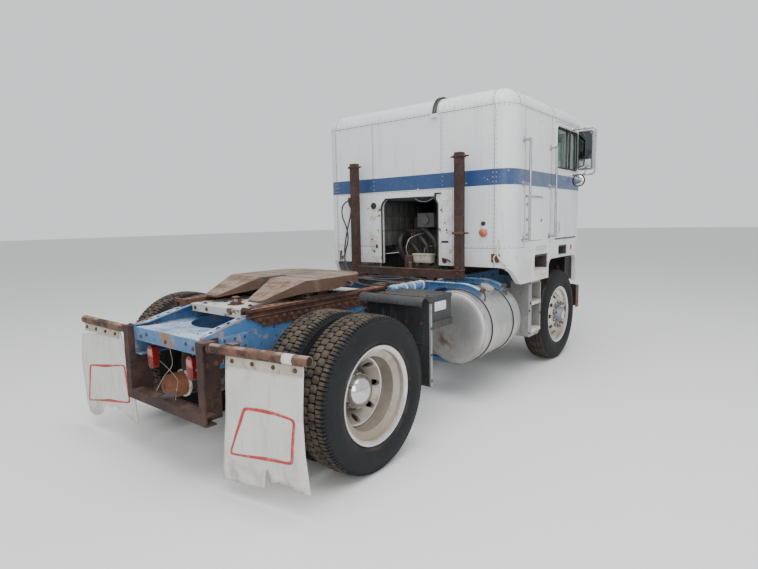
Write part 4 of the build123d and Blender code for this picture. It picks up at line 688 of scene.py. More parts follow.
class Form:
    """A piece put together from small closed forms, each with the current material slot.

    A point is (x, distance behind the front axle, z), with x outward on the current side,
    or a frame vector.
    """

    waiting = []

    def __init__(self, name, body, *materials, side=1):
        self.name, self.body, self.materials, self.side = name, body, materials, side
        self.points, self.faces, self.slots, self.smooth = [], [], [], []
        self.slot = 0
        Form.waiting.append(self)

    def sides(self):
        """Make the left side current, then the right."""
        for self.side in (1, -1):
            yield
        self.side = 1

    def place(self, point):
        """Frame vector of a point."""
        return Vector(point) if isinstance(point, Vector) else at(self.side * point[0], point[1], point[2])

    def way(self, direction):
        """Direction on the current side."""
        return Vector((self.side * direction.x, direction.y, direction.z))

    def row(self, points):
        """Add points, and give their numbers."""
        start = len(self.points)
        self.points.extend(points)
        return list(range(start, len(self.points)))

    def face(self, corners, smooth=True):
        """One face by the numbers of its points."""
        self.faces.append(corners)
        self.slots.append(self.slot)
        self.smooth.append(smooth)

    def take(self, made):
        """Add a small flat-sided bmesh, then free it."""
        made.verts.index_update()
        numbers = self.row([v.co.copy() for v in made.verts])
        for face in made.faces:
            self.face([numbers[v.index] for v in face.verts], False)
        made.free()

    def bevel(self, made, edge):
        """Round all edges of a bmesh."""
        if edge:
            bmesh.ops.bevel(made, geom=made.edges[:], offset=edge, segments=2, profile=0.5, affect="EDGES")

    def box(self, x, y, z, edge=0.0):
        """Block between two values of x, of the distance behind the front axle and of z."""
        x = [self.side * value for value in x]
        low = at(min(x), min(y), min(z))
        high = at(max(x), max(y), max(z))
        made = bmesh.new()
        bmesh.ops.create_cube(made, size=1.0)
        bmesh.ops.scale(made, vec=high - low, verts=made.verts)
        self.bevel(made, edge)
        bmesh.ops.translate(made, vec=(low + high) / 2, verts=made.verts)
        self.take(made)

    def prism(self, outline, offset, edge=0.0):
        """Flat outline, pushed along an offset."""
        made = bmesh.new()
        face = made.faces.new([made.verts.new(self.place(p)) for p in outline])
        grown = bmesh.ops.extrude_face_region(made, geom=[face], use_keep_orig=True)["geom"]
        moved = [item for item in grown if isinstance(item, bmesh.types.BMVert)]
        bmesh.ops.translate(made, vec=offset, verts=moved)
        bmesh.ops.recalc_face_normals(made, faces=made.faces)
        self.bevel(made, edge)
        self.take(made)

    def bridge(self, first, second, smooth=True):
        """Faces between two rings, either of which may be a single point."""
        count = max(len(first), len(second))
        for k in range(count):
            n = (k + 1) % count
            if len(first) == 1:
                self.face([first[0], second[n], second[k]], smooth)
            elif len(second) == 1:
                self.face([first[k], first[n], second[0]], smooth)
            else:
                self.face([first[k], first[n], second[n], second[k]], smooth)

    def ring(self, centre, across, other, radius, count):
        """Numbers of new points round a circle, or of one point where the radius is nothing."""
        if radius < 1e-6:
            return self.row([Vector(centre)])
        return self.row([centre + radius * (c * across + s * other) for c, s in spokes(count)])

    def turned(self, centre, axis, profile, count=32, smooth=True, closed=False):
        """Solid of revolution; profile rows are (distance along the axis, radius)."""
        centre = self.place(centre)
        axis = self.way(axis).normalized()
        across = axis.orthogonal().normalized()
        other = axis.cross(across)
        rings = [self.ring(centre + axis * along, across, other, radius, count) for along, radius in profile]
        for first, second in zip(rings, rings[1:]):
            self.bridge(first, second, smooth)
        if closed:
            self.bridge(rings[-1], rings[0], smooth)

    def hoop(self, centre, axis, along, radii, count):
        """Flat ring between two places along an axis and two radii."""
        (start, end), (inner, outer) = along, radii
        self.turned(centre, axis, [(start, inner), (start, outer), (end, outer), (end, inner)], count,
                    closed=True)

    def disc(self, centre, axis, radius, along, count):
        """Round plate between two places along an axis, open at its foot."""
        low, high = along
        self.turned(centre, axis, [(low, radius), (high, radius), (high, 0)], count)

    def tube(self, points, radius, count=8, cells=6):
        """Round bar along a smooth line through the points, straight between two."""
        line = smooth_line([self.place(p) for p in points], cells)
        across = (line[1] - line[0]).orthogonal().normalized()
        rings = [self.row([line[0].copy()])]
        for index, point in enumerate(line):
            ahead = line[min(index + 1, len(line) - 1)] - line[max(index - 1, 0)]
            ahead.normalize()
            across = (across - ahead * across.dot(ahead)).normalized()
            rings.append(self.ring(point, across, ahead.cross(across), radius, count))
        rings.append(self.row([line[-1].copy()]))
        for first, second in zip(rings, rings[1:]):
            self.bridge(first, second)

    def dome(self, point, normal, radius, height, count=8):
        """Round head standing on a surface."""
        self.turned(point, normal, [(-0.001, radius), (0.6 * height, 0.78 * radius), (height, 0)], count)

    def bolt(self, point, normal, radius, height):
        """Hexagon head on a washer."""
        self.turned(point, normal, [(-0.002, 1.6 * radius), (0.003, 1.5 * radius), (0.003, 0)], 12, False)
        self.turned(point, normal, [(0.002, radius), (height - 0.002, radius), (height, 0.85 * radius),
                                    (height, 0)], 6, False)

    def bolts(self, x, y, z, normal, radius, height):
        """Bolts at every mix of the given places; each place is one value or several."""
        places = [value if isinstance(value, tuple) else (value,) for value in (x, y, z)]
        for point in itertools.product(*places):
            self.bolt(point, normal, radius, height)

    def done(self):
        """Make the object, with its materials in slot order, and let it ride on its body."""
        Form.waiting.remove(self)
        data = bpy.data.meshes.new(self.name)
        data.from_pydata(self.points, [], self.faces)
        for material in self.materials:
            data.materials.append(MATERIALS[material])
        data.polygons.foreach_set("material_index", self.slots)
        data.polygons.foreach_set("use_smooth", self.smooth)
        clean = bmesh.new()
        clean.from_mesh(data)
        bmesh.ops.recalc_face_normals(clean, faces=clean.faces)
        clean.to_mesh(data)
        clean.free()
        data.set_sharp_from_angle(angle=0.75)
        return riding(self.name, data, self.body, SLOT_OF.get(self.materials[0], self.materials[0]))


def riding(name, data, body, slot):
    """New object of a mesh, on a body; its slot argument is not used."""
    made = bpy.data.objects.new(name, data)
    bpy.context.scene.collection.objects.link(made)
    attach(made, body)
    return made


def both(action):
    """Run an action for the left side and for the right."""
    for side, name in ((1, "left"), (-1, "right")):
        action(side, name)


# Tyres

TYRE_R = 0.528
TREAD_TOP = [(0.0, TYRE_R), (0.080, 0.526), (0.110, 0.518), (0.124, 0.492)]
TREAD_BASE = [(0.0, 0.514), (0.060, 0.513), (0.106, 0.507), (0.124, 0.489)]
WALL_LINE = [
    # x from the tyre's middle, radius
    (0.124, 0.4915), (0.1275, 0.484), (0.1262, 0.481), (0.1308, 0.468), (0.1345, 0.452), (0.1352, 0.447),
    (0.137, 0.432), (0.1368, 0.412), (0.1345, 0.392), (0.13, 0.372), (0.1285, 0.37), (0.1268, 0.366),
    (0.1205, 0.352), (0.1125, 0.343), (0.105, 0.335), (0.104, 0.326), (0.104, 0.3135)]
INSIDE_LINE = [(0.096, 0.322), (0.118, 0.380), (0.110, 0.470), (0.0, 0.495), (-0.110, 0.470),
               (-0.118, 0.380), (-0.096, 0.322)]
STEER_CROWN = [
    # ribs and grooves of the steer tyre, from its middle out
    (0.0, TYRE_R), (0.0175, TYRE_R), (0.0185, 0.527), (0.0205, 0.514), (0.0245, 0.514), (0.0265, 0.527),
    (0.0275, 0.5278), (0.0605, 0.5269), (0.0615, 0.5255), (0.0635, 0.514), (0.068, 0.514), (0.07, 0.525),
    (0.071, 0.5262), (0.08, 0.526), (0.1025, 0.52), (0.104, 0.5185), (0.105, 0.512), (0.1065, 0.512),
    (0.1075, 0.5175), (0.11, 0.5165), (0.118, 0.504)]
SHOULDER_LINE = [
    # x, radius of a lug's top and of its foot
    (0.108, 0.5187, 0.505), (0.1105, 0.5165, 0.503), (0.118, 0.503, 0.49), (0.1245, 0.4915, 0.484)]
PITCHES = 60
PITCH = 2 * math.pi * TYRE_R / PITCHES
LUG_FOOT, LUG_EDGE, LUG_SHRINK = 0.003, 0.0028, 0.86
TWIN_HALF = 0.1375


def between(rows, x):
    """Value at x on a line of (x, value) rows."""
    x = abs(x)
    for (x0, v0), (x1, v1) in zip(rows, rows[1:]):
        if x <= x1:
            return v0 + (v1 - v0) * (x - x0) / (x1 - x0)
    return rows[-1][1]


def carcass(form, centre, crown):
    """Casing turned from its wall line and the given crown line, of (x, radius) from the middle out."""
    half = crown + WALL_LINE
    other = [(-x, radius) for x, radius in reversed(half[1:])]
    form.turned(centre, X, other + half + INSIDE_LINE, 120, closed=True)


def tread_ring(form, centre, corners):
    """Points of a tyre, given as (x, distance round the tread, radius)."""
    return form.row([centre + Vector((x, radius * math.cos(s / TYRE_R), radius * math.sin(s / TYRE_R)))
                     for x, s, radius in corners])


def lug(form, centre, outline):
    """Tread block over an outline of (x, distance round the tread); its sides run down into the casing."""
    mid_x, mid_s = (sum(values) / len(outline) for values in zip(*outline))
    top = [(mid_x + (x - mid_x) * LUG_SHRINK, mid_s + (s - mid_s) * LUG_SHRINK) for x, s in outline]
    foot = tread_ring(form, centre, [(x, s, between(TREAD_BASE, x) - LUG_FOOT) for x, s in outline])
    edge = tread_ring(form, centre, [(x, s, between(TREAD_TOP, x) - LUG_EDGE) for x, s in outline])
    head = tread_ring(form, centre, [(x, s, between(TREAD_TOP, x)) for x, s in top])
    form.bridge(foot, edge, False)
    form.bridge(edge, head, False)
    form.face(head, False)


def block_tread(form, centre):
    """Four rows of blocks: two of eight-cornered ones and a notched row over each shoulder."""
    for index in range(PITCHES):
        for side in (-1, 1):
            s = (index + (0.5 if side > 0 else 0.0)) * PITCH
            long, short = 0.455 * PITCH, 0.375 * PITCH
            lug(form, centre, [(side * x, s + part) for x, part in (
                (0.005, -short), (0.028, -long), (0.053, -short), (0.056, 0.0), (0.053, short),
                (0.028, long), (0.005, short), (0.002, 0.0))])
            s += 0.5 * PITCH
            for outline in (((0.061, -0.40), (0.1085, -0.43), (0.1085, -0.04), (0.070, -0.03),
                             (0.064, -0.1)),
                            ((0.064, 0.06), (0.070, 0.03), (0.1085, 0.04), (0.1085, 0.43), (0.061, 0.42))):
                lug(form, centre, [(side * x, s + part * PITCH) for x, part in outline])
            for part in (-0.25, 0.25):
                shoulder(form, centre, side, s + part * PITCH, 0.17 * PITCH)


def shoulder(form, centre, side, s, half):
    """Small lug down the shoulder, flush with the casing at its foot."""
    rings = [tread_ring(form, centre, [(side * x, s - half, low), (side * x, s - 0.85 * half, top),
                                       (side * x, s + 0.85 * half, top), (side * x, s + half, low)])
             for x, top, low in SHOULDER_LINE]
    for first, second in zip(rings, rings[1:]):
        form.bridge(first, second, False)
    form.face(rings[0], False)
    form.face(rings[-1], False)


def rear_tyre(side, name):
    """Twin drive tyres with block tread."""
    form = Form("rear_tread_" + name, "rear_wheels_" + name, "rear_tyre")
    low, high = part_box("rear_tyres_" + name)
    for x in (low.x + TWIN_HALF, high.x - TWIN_HALF):
        centre = Vector((x, REAR_AXLE, AXLE_Z))
        carcass(form, centre, TREAD_BASE[:3])
        block_tread(form, centre)
    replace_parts(form.done(), "rear_tyres_" + name)


def front_tyre(side, name):
    """Steer tyre with five ribs, the outer pair notched at the shoulder."""
    form = Form("front_tread_" + name, "front_wheel_" + name, "front_tyre")
    carcass(form, middle("front_tyre_" + name), STEER_CROWN)
    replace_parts(form.done(), "front_tyre_" + name)


# Mud flaps

FLAP_TOP = 0.885
FLAPS = {
    # side: outline, corners of the painted panel, ends of the clamp strip, all as (out from the middle, z)
    1: ([(0.64, 0.885), (0.77, 0.885), (0.8, 0.836), (0.868, 0.83), (0.94, 0.815), (1.02, 0.822),
         (1.095, 0.812), (1.2, 0.802), (1.3, 0.785), (1.322, 0.5), (1.305, 0.2), (1.262, 0.128),
         (1.18, 0.116), (1.101, 0.135), (1.05, 0.158), (1.012, 0.212), (0.954, 0.252), (0.87, 0.244),
         (0.8, 0.278), (0.72, 0.262), (0.638, 0.248), (0.56, 0.218), (0.478, 0.192), (0.495, 0.36),
         (0.52, 0.44), (0.545, 0.62), (0.6, 0.76)],
        [(1.179, 0.548), (1.268, 0.226), (0.56, 0.345), (0.601, 0.634)],
        (0.655, 1.230)),
    -1: ([(0.64, 0.885), (1.218, 0.885), (1.222, 0.383), (1.246, 0.16), (1.214, 0.15), (1.186, 0.166),
          (1.142, 0.158), (1.118, 0.174), (1.08, 0.164), (1.02, 0.17), (0.965, 0.159), (0.952, 0.198),
          (0.937, 0.232), (0.922, 0.222), (0.915, 0.179), (0.908, 0.116), (0.82, 0.108), (0.733, 0.103),
          (0.565, 0.09), (0.604, 0.45), (0.622, 0.6)],
         [(0.773, 0.589), (0.9, 0.6), (1.028, 0.598), (1.171, 0.58), (1.149, 0.438), (1.131, 0.304),
          (0.894, 0.286), (0.636, 0.269), (0.699, 0.424)],
         (0.655, 1.215)),
}
PIPE_START = 0.430
PIPE_SWING = (0.815, 0.137)
FLAP_CELL = 0.035


def flap_point(side, along, z):
    """Point of a flap's middle sheet; along is the distance from the truck's middle, out the bar."""
    wave = 0.006 * math.sin(9.0 * along + 2.0) + 0.005 * math.sin(5.5 * z + 3.0 * along)
    loose = min(1.0, max(0.0, (FLAP_TOP - z) / 0.3))
    lift = 0.018 * loose * math.sin(3.4 * (along - 0.6)) + wave * loose
    if side > 0:
        return at(along, 4.302 + lift, z)
    swing = math.atan2(PIPE_SWING[1], PIPE_SWING[0])
    reach = along - PIPE_START
    y = 4.306 - reach * math.sin(swing) + lift * math.cos(swing)
    return at(-PIPE_START - reach * math.cos(swing) + lift * math.sin(swing), y, z)


def cut(made, place, normal):
    """Cut all of a bmesh with a plane."""
    geometry = made.verts[:] + made.edges[:] + made.faces[:]
    bmesh.ops.bisect_plane(made, geom=geometry, plane_co=place, plane_no=normal)


def clipped_grid(outline, cell):
    """Flat mesh over an outline of (along, z), cut into cells so that it can be bent."""
    made = bmesh.new()
    made.faces.new([made.verts.new((x, 0.0, z)) for x, z in outline])
    for values, normal in zip(zip(*outline), (X, Z)):
        value = min(values) + cell
        while value < max(values) - 0.3 * cell:
            cut(made, normal * value, normal)
            value += cell
    return made


def smooth_mesh(made, name, material):
    """Mesh of a bmesh, smooth all over, with one material."""
    data = bpy.data.meshes.new(name)
    made.to_mesh(data)
    made.free()
    data.materials.append(MATERIALS[material])
    for face in data.polygons:
        face.use_smooth = True
    return data


def thicken(sheet, thickness, offset=-1.0):
    """Give a sheet its thickness."""
    thick = sheet.modifiers.new("thick", "SOLIDIFY")
    thick.thickness = thickness
    thick.offset = offset


def flap(side, name):
    """Hanging rubber flap with its torn foot, clamped under the pipe."""
    outline, corners, clamp_ends = FLAPS[side]
    made = clipped_grid(outline, FLAP_CELL)
    area = sum(face.calc_area() for face in made.faces)
    for vert in made.verts:
        vert.co = flap_point(side, vert.co.x, vert.co.z)
    sheet = riding("flap_" + name, smooth_mesh(made, "flap_" + name, "flap_rubber"), "chassis",
                   "flap_rubber")
    thicken(sheet, 0.006, 0.0)
    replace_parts(sheet, "mud_flaps")
    width, length = (max(values) - min(values) for values in zip(*outline))
    flap_sign(side, name, corners)
    flap_clamp(side, name, *clamp_ends)


def rounded(corners, radius, cells=4):
    """Outline with its corners rounded."""
    line = []
    for index, corner in enumerate(corners):
        corner = Vector(corner)
        before = (Vector(corners[index - 1]) - corner).normalized()
        after = (Vector(corners[(index + 1) % len(corners)]) - corner).normalized()
        for k in range(cells + 1):
            t = k / cells
            line.append(corner + before * radius * (1 - t) ** 2 + after * radius * t ** 2)
    return line


def flap_sign(side, name, corners):
    """Faded red outline of the blank panel painted on the flap's rear face."""
    sparse = rounded(corners, 0.030)
    outer = []
    for start, end in zip(sparse, sparse[1:] + sparse[:1]):
        cells = max(1, math.ceil((end - start).length / 0.020))
        outer.extend(start.lerp(end, k / cells) for k in range(cells))
    centre = sum((Vector(c) for c in corners), Vector((0, 0))) / len(corners)
    form = Form("flap_outline_" + name, "chassis", "flap_red")
    rings = []
    for width in (0.0, 0.021):
        flats = [flat + (centre - flat).normalized() * width for flat in outer]
        rings.append(form.row([flap_point(side, flat.x, flat.y) + Y * 0.0050 for flat in flats]))
    form.bridge(*rings)
    made = form.done()
    thicken(made, 0.0012)
    return made


def flap_clamp(side, name, near, far):
    """Tan strip along the flap's top, with bolts through it."""
    form = Form("flap_clamp_" + name, "chassis", "tan_paint", "old_bolt")
    cells = 12
    inner_top, outer_top, inner_low, outer_low = (
        form.row([flap_point(side, near + (far - near) * k / cells, z) + Y * lift for k in range(cells + 1)])
        for z in (0.884, 0.826) for lift in (0.004, 0.010))
    for k in range(cells):
        for a, b in ((outer_top, outer_low), (inner_top, outer_top), (outer_low, inner_low),
                     (inner_low, inner_top)):
            form.face([a[k], a[k + 1], b[k + 1], b[k]], False)
    for k in (0, cells):
        form.face([inner_top[k], outer_top[k], outer_low[k], inner_low[k]], False)
    form.slot = 1
    for part in (0.08, 0.36, 0.64, 0.92):
        form.bolt(flap_point(side, near + (far - near) * part, 0.858) + Y * 0.0105, Y, 0.009, 0.010)
    return form.done()


# Seats and bunk

CUSHIONS = [
    # name, x from the middle, behind and z: low and high of each, seam spacing along x, axis of its crown
    ("cushion", (0.600, 1.020), (0.270, 0.740), (1.561, 1.690), 0.105, 2),
    ("backrest", (0.610, 1.010), (0.700, 0.820), (1.691, 2.280), 0.100, 1),
]
PAD_CELL = 0.028


def pad(name, low, high, channels, crown_axis, material, node):
    """Crowned closed pad in place of a node, sewn in channels across x, pinched at its edges."""
    size = high - low
    centre = (low + high) / 2
    made = bmesh.new()
    bmesh.ops.create_cube(made, size=1.0)
    bmesh.ops.scale(made, vec=size * 0.985, verts=made.verts)
    bmesh.ops.translate(made, vec=centre, verts=made.verts)
    for index, normal in enumerate((X, Y, Z)):
        cells = max(2, min(40, round(size[index] / PAD_CELL)))
        for k in range(1, cells):
            cut(made, low + size * (k / cells), normal)
    flat = [i for i in range(3) if i != crown_axis]
    for vert in made.verts:
        part = Vector([(vert.co[i] - centre[i]) / (size[i] / 2) for i in range(3)])
        swell = (1 - abs(part[flat[0]]) ** 3) * (1 - abs(part[flat[1]]) ** 3)
        groove = abs(math.sin(math.pi * (vert.co.x - low.x) / channels))
        groove = 0.010 * (1 - min(1.0, groove * 3.0)) if abs(part[crown_axis]) > 0.6 else 0.0
        pull = 0.90 + 0.10 * swell
        vert.co[crown_axis] = centre[crown_axis] + part[crown_axis] * size[crown_axis] / 2 * pull
        vert.co[crown_axis] -= groove * (1 if part[crown_axis] > 0 else -1)
        for i, other in (flat, reversed(flat)):
            pinch = 0.012 * (1 - part[other] ** 2) * (1 - abs(part[crown_axis]) ** 2)
            edge = 0.010 if abs(part[i]) > 0.98 else 0.0
            vert.co[i] -= (edge - pinch * (abs(part[i]) > 0.98)) * (1 if part[i] > 0 else -1)
    cushion = riding(name, smooth_mesh(made, name, material), "cab", "seat_fabric")
    soft = cushion.modifiers.new("soft", "SUBSURF")
    soft.levels = soft.render_levels = 1
    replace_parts(cushion, node)


def seat(side, name):
    """Cushion and backrest of one seat."""
    for piece, x, y, z, channels, axis in CUSHIONS:
        ends = [side * value for value in x]
        pad(piece + "_" + name, at(min(ends), y[0], z[0]), at(max(ends), y[1], z[1]), channels, axis,
            "seat_fabric", "seats")


def soft_goods():
    """Mattress, and the frames under the seats."""
    low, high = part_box("bunk")
    pad("mattress", low, high, 0.34, 2, "mattress", "bunk")
    form = Form("seat_frames", "cab", "dark_iron")
    for _ in form.sides():
        for y in (0.34, 0.66):
            form.box((0.66, 0.96), span(y, 0.02), (1.560, 1.566), 0.002)
        for x in (0.70, 0.92):
            form.tube([(x, 0.775, 1.66), (x, 0.790, 1.75)], 0.010)


# Cab

BACK_R = 0.185
FRONT_R = 0.310
CAB_BACK = 1.501
CAB_NOSE = -0.660
ROOF_R = 0.160
ROOF_TOP = 2.884
FLAT_BACK = CAB_HALF - BACK_R
BACK_ARC = BACK_R * math.pi / 2
FLAT_SIDE = CAB_BACK - BACK_R - (CAB_NOSE + FRONT_R)
NOSE_ARC = FRONT_R * math.pi / 2
CORNER_END = FLAT_BACK + BACK_ARC
PLAN_LENGTH = CORNER_END + FLAT_SIDE + NOSE_ARC + CAB_HALF - FRONT_R
GUTTER_Z = 2.719
POCKET_Z = 1.38


def wall(distance, side):
    """Point on the cab's plan and its outward normal, by the distance from the back wall's middle."""
    if distance < FLAT_BACK:
        return (side * distance, CAB_BACK), Y
    distance -= FLAT_BACK
    if distance < BACK_ARC:
        s, c = math.sin(distance / BACK_R), math.cos(distance / BACK_R)
        return (side * (FLAT_BACK + BACK_R * s), CAB_BACK - BACK_R + BACK_R * c), Vector((side * s, c, 0))
    distance -= BACK_ARC
    if distance < FLAT_SIDE:
        return (side * CAB_HALF, CAB_BACK - BACK_R - distance), X * side
    distance -= FLAT_SIDE
    if distance < NOSE_ARC:
        s, c = math.sin(distance / FRONT_R), math.cos(distance / FRONT_R)
        return (side * (CAB_HALF - FRONT_R + FRONT_R * c), CAB_NOSE + FRONT_R - FRONT_R * s), \
            Vector((side * c, -s, 0))
    return (side * (CAB_HALF - FRONT_R - distance + NOSE_ARC), CAB_NOSE), -Y


def side_distance(y):
    """Distance round the plan to a place on the flat side, given behind the front axle."""
    return CORNER_END + (CAB_BACK - BACK_R - y)


def rivet(form, point, normal):
    """Small rivet head, grey with dirt and painted shade."""
    form.dome(point, normal, 0.0062, 0.0030, 6)


def rivet_row(form, start, end, normal, pitch=0.043):
    """Rivets along a straight line between two points."""
    start, end = form.place(start), form.place(end)
    count = max(1, round((end - start).length / pitch))
    for k in range(count + 1):
        rivet(form, start.lerp(end, k / count), normal)


def level_places(z, first, last, side, cells):
    """Points at one height round part of the cab's plan, with the wall's normal at each."""
    for k in range(cells + 1):
        (x, y), normal = wall(first + (last - first) * k / cells, side)
        yield at(x, y, z), normal


def level_rivets(form, z, first, last, side, pitch=0.043):
    """Rivets at one height round part of the cab's plan."""
    for point, normal in level_places(z, first, last, side, max(1, round((last - first) / pitch))):
        rivet(form, point, normal)


def level_seam(form, z, first, last, side, radius=0.0022):
    """Dark lap line at one height round part of the cab's plan: dirt in the joint and painted shadow of the
    lapped edge.
    """
    places = level_places(z, first, last, side, max(2, round((last - first) / 0.05)))
    form.tube([point - normal * radius * 0.3 for point, normal in places], radius, 6, 1)


def cab_joints():
    """Rivets and lap lines where the cab's sheets meet."""
    heads, laps = Form("cab_rivets", "cab", "rivet"), Form("cab_laps", "cab", "seam")
    for side in (-1, 1):
        for z in (2.703, 2.737):
            level_rivets(heads, z, 0.02, PLAN_LENGTH - 0.02, side)
        level_seam(laps, GUTTER_Z + 0.0005, 0.0, PLAN_LENGTH, side, 0.0030)
        for distance in (0.997, 1.030):
            (x, y), normal = wall(distance, side)
            rivet_row(heads, (x, y, 1.235), (x, y, 2.66), normal)
        (x, y), normal = wall(1.0135, side)
        laps.tube([(x, y, 1.205), (x, y, GUTTER_Z)], 0.0026, 6)
        level_rivets(heads, POCKET_Z + 0.015, 0.60 if side < 0 else 0.48, CORNER_END, side)
        level_seam(laps, POCKET_Z + 0.001, 0.565 if side < 0 else 0.445, side_distance(1.185), side)
        for y in (1.195, 0.502):
            spot = at(side * CAB_HALF, y, 0)
            laps.tube([spot + Z * POCKET_Z, spot + Z * 2.716], 0.0020, 6)
            spot += Y * 0.016
            rivet_row(heads, spot + Z * 1.41, spot + Z * 2.68, X * side, 0.085)
        roof_joints(heads, laps, side)
    for x, low, high in ((-0.427, 1.98, 2.70), (-0.563, 1.20, 1.965), (0.462, 1.98, 2.70)):
        laps.tube([(x, CAB_BACK, low), (x, CAB_BACK, high)], 0.0022, 6)
        rivet_row(heads, (x - 0.016, CAB_BACK, low + 0.03), (x - 0.016, CAB_BACK, high - 0.03), Y)
    for x in (-0.425, 0.398, 0.482, -0.505):
        rivet_row(heads, (x, CAB_BACK, 1.215), (x, CAB_BACK, 1.965), Y, 0.052)
    laps.tube([(-0.563, CAB_BACK, 1.972), (1.0, CAB_BACK, 1.972)], 0.0020, 6)
    rivet_row(heads, (-0.40, CAB_BACK, 1.952), (0.38, CAB_BACK, 1.952), Y, 0.05)


def roof_joints(heads, laps, side):
    """Lap lines that climb the roof's round edge at the ends of each corner, with their rivets."""
    for distance in (FLAT_BACK, CORNER_END, side_distance(0.42), PLAN_LENGTH - CAB_HALF + FRONT_R):
        (x, y), normal = wall(distance, side)
        points = []
        for k in range(9):
            c, s = math.cos(k / 8 * math.pi / 2), math.sin(k / 8 * math.pi / 2)
            points.append(at(x, y, ROOF_TOP - ROOF_R + ROOF_R * s) - normal * (ROOF_R * (1 - c)))
            if 0 < k < 8:
                rivet(heads, points[-1] + normal.cross(Z) * 0.014, normal * c + Z * s)
        laps.tube([at(x, y, 2.72)] + points, 0.0022, 6, 2)


def opening_edge(form):
    """Rubber edge trim round the engine opening, with its torn foot."""
    r = 0.095
    left, right, foot, waist, top = 0.345, -0.386, 1.185, 1.50, 1.900
    turns = [k / 6 * math.pi / 2 for k in range(1, 6)]
    line = [(right, foot), (right, waist), (right, top - r)]
    line += [(right + r - r * math.cos(turn), top - r + r * math.sin(turn)) for turn in turns]
    line += [(right + r, top), (left - r, top)]
    line += [(left - r + r * math.sin(turn), top - r + r * math.cos(turn)) for turn in turns]
    line += [(left, top - r), (left, waist), (left, foot)]
    form.tube([(x, CAB_BACK, z) for x, z in line], 0.0095, 8, 3)


def back_fittings():
    """Lamps, plugs, latch, torn metal and painted shade of holes on the back wall."""
    face = CAB_BACK
    rubber = Form("back_rubber_and_hole_shade", "cab", "gasket")
    opening_edge(rubber)
    rubber.turned((0.455, face, 1.835), Y, [(-0.002, 0.036), (0.010, 0.036), (0.014, 0.030), (0.016, 0)], 24)
    rubber.turned((-0.902, face, 1.620), Y,
                  [(-0.002, 0.022), (0.012, 0.022), (0.012, 0.010), (0.004, 0)], 20)
    # The flush black disc and the flush boxes below are painted shade standing in for a hole and slots in
    # the sheet; the boxes that stand proud make the L latch.
    rubber.disc((-0.490, face, 1.560), Y, 0.011, (-0.002, 0.001), 16)
    for x, sunk, proud, z, edge in (
            ((-0.352, -0.428), 0.002, 0.012, (1.926, 1.940), 0.003),
            ((-0.352, -0.366), 0.002, 0.016, (1.868, 1.938), 0.003),
            ((-0.428, -0.512), 0.004, 0.002, (1.430, 1.452), 0.002),
            ((-0.486, -0.496), 0.004, 0.002, (1.528, 1.542), 0.002),
            ((0.408, 0.438), 0.004, 0.002, (1.360, 1.405), 0.003),
            ((-0.984, -1.000), 0.012, 0.001, (1.250, 1.330), 0.002)):
        rubber.box(x, (face - sunk, face + proud), z, edge)
    plug = Form("back_plug", "cab", "cab_paint")
    plug.turned((-0.466, face, 1.842), Y, [(-0.001, 0.030), (0.006, 0.029), (0.008, 0.018), (0.003, 0.014),
                                           (0.003, 0)], 20)
    plug.tube([(-0.57, face, 2.262), (-0.585, face + 0.030, 2.268), (-0.60, face + 0.034, 2.246)], 0.004)
    plug.box(span(-0.905, 0.020), (face - 0.001, face + 0.010), (1.560, 1.600), 0.002)
    amber = Form("back_lamp", "cab", "lamp_amber", "chrome")
    lamp = (-0.903, face, 1.533)
    amber.turned(lamp, Y, [(-0.001, 0.040), (0.012, 0.040), (0.024, 0.030), (0.030, 0.012), (0.031, 0)], 28)
    amber.slot = 1
    amber.turned(lamp, Y, [(-0.001, 0.047), (0.008, 0.047), (0.008, 0.040), (0.002, 0.040)], 28, closed=True)
    torn = Form("torn_edges", "cab", "old_bolt")
    for outline in (((-0.982, 1.330), (-1.066, 1.332), (-1.079, 1.316), (-1.074, 1.262), (-1.058, 1.246),
                     (-0.990, 1.248)),
                    ((-0.434, 1.262), (-0.462, 1.268), (-0.492, 1.254), (-0.488, 1.226), (-0.460, 1.216),
                     (-0.436, 1.232))):
        torn.prism([(x, face + 0.001, z) for x, z in outline], Y * 0.0015)
    torn.tube([(-0.440, face + 0.004, 1.272), (-0.50, face + 0.018, 1.262),
               (-0.545, face + 0.020, 1.240)], 0.008)
    for x0, z0, x1, z1 in ((0.955, 1.33, 0.99, 1.20), (0.925, 1.27, 0.962, 1.21),
                           (0.70, 1.215, 0.76, 1.195)):
        torn.prism([(x0, face, z0), (x1, face + 0.004, z0 - 0.012), (x1 - 0.008, face + 0.016, z1),
                    (x0 + 0.008, face + 0.018, z1 + 0.016)], Y * 0.002)
    bracket = Form("broken_bracket", "cab", "cream")
    bracket.box((-1.035, -1.075), (1.470, 1.478), (1.360, 1.500), 0.002)
    bracket.tube([(-1.055, 1.480, 1.480), (-1.068, 1.500, 1.420), (-1.050, 1.512, 1.340),
                  (-1.085, 1.500, 1.265), (-1.130, 1.470, 1.215)], 0.010)
    bracket.tube([(-1.050, 1.512, 1.340), (-1.020, 1.520, 1.290), (-1.035, 1.515, 1.235)], 0.006)


# Engine opening

ENGINE_BACK = 1.146
BELL_Z = 0.880


def sound_mats():
    """Quilted mats on the tunnel's walls, the sheet over the opening and a wire that hangs from it."""
    mat = Form("tunnel_mat", "cab", "sound_mat")
    for x, lean in ((0.4070, -1), (-0.4070, 1)):
        for y in steps(0.62, 0.118, 7):
            for z in steps(1.385, 0.168, 3):
                mat.box((x, x + lean * 0.010), (y, y + 0.112), (z, z + 0.160), 0.004)
    mat.box((-0.36, 0.36), (0.60, 1.40), (1.886, 1.899), 0.006)
    sag = Form("loose_wire", "cab", "tape_silver")
    sag.tube([(-0.070, 1.455, 1.896), (-0.130, 1.460, 1.868), (-0.190, 1.462, 1.858), (-0.250, 1.460, 1.866),
              (-0.300, 1.455, 1.890)], 0.0035)


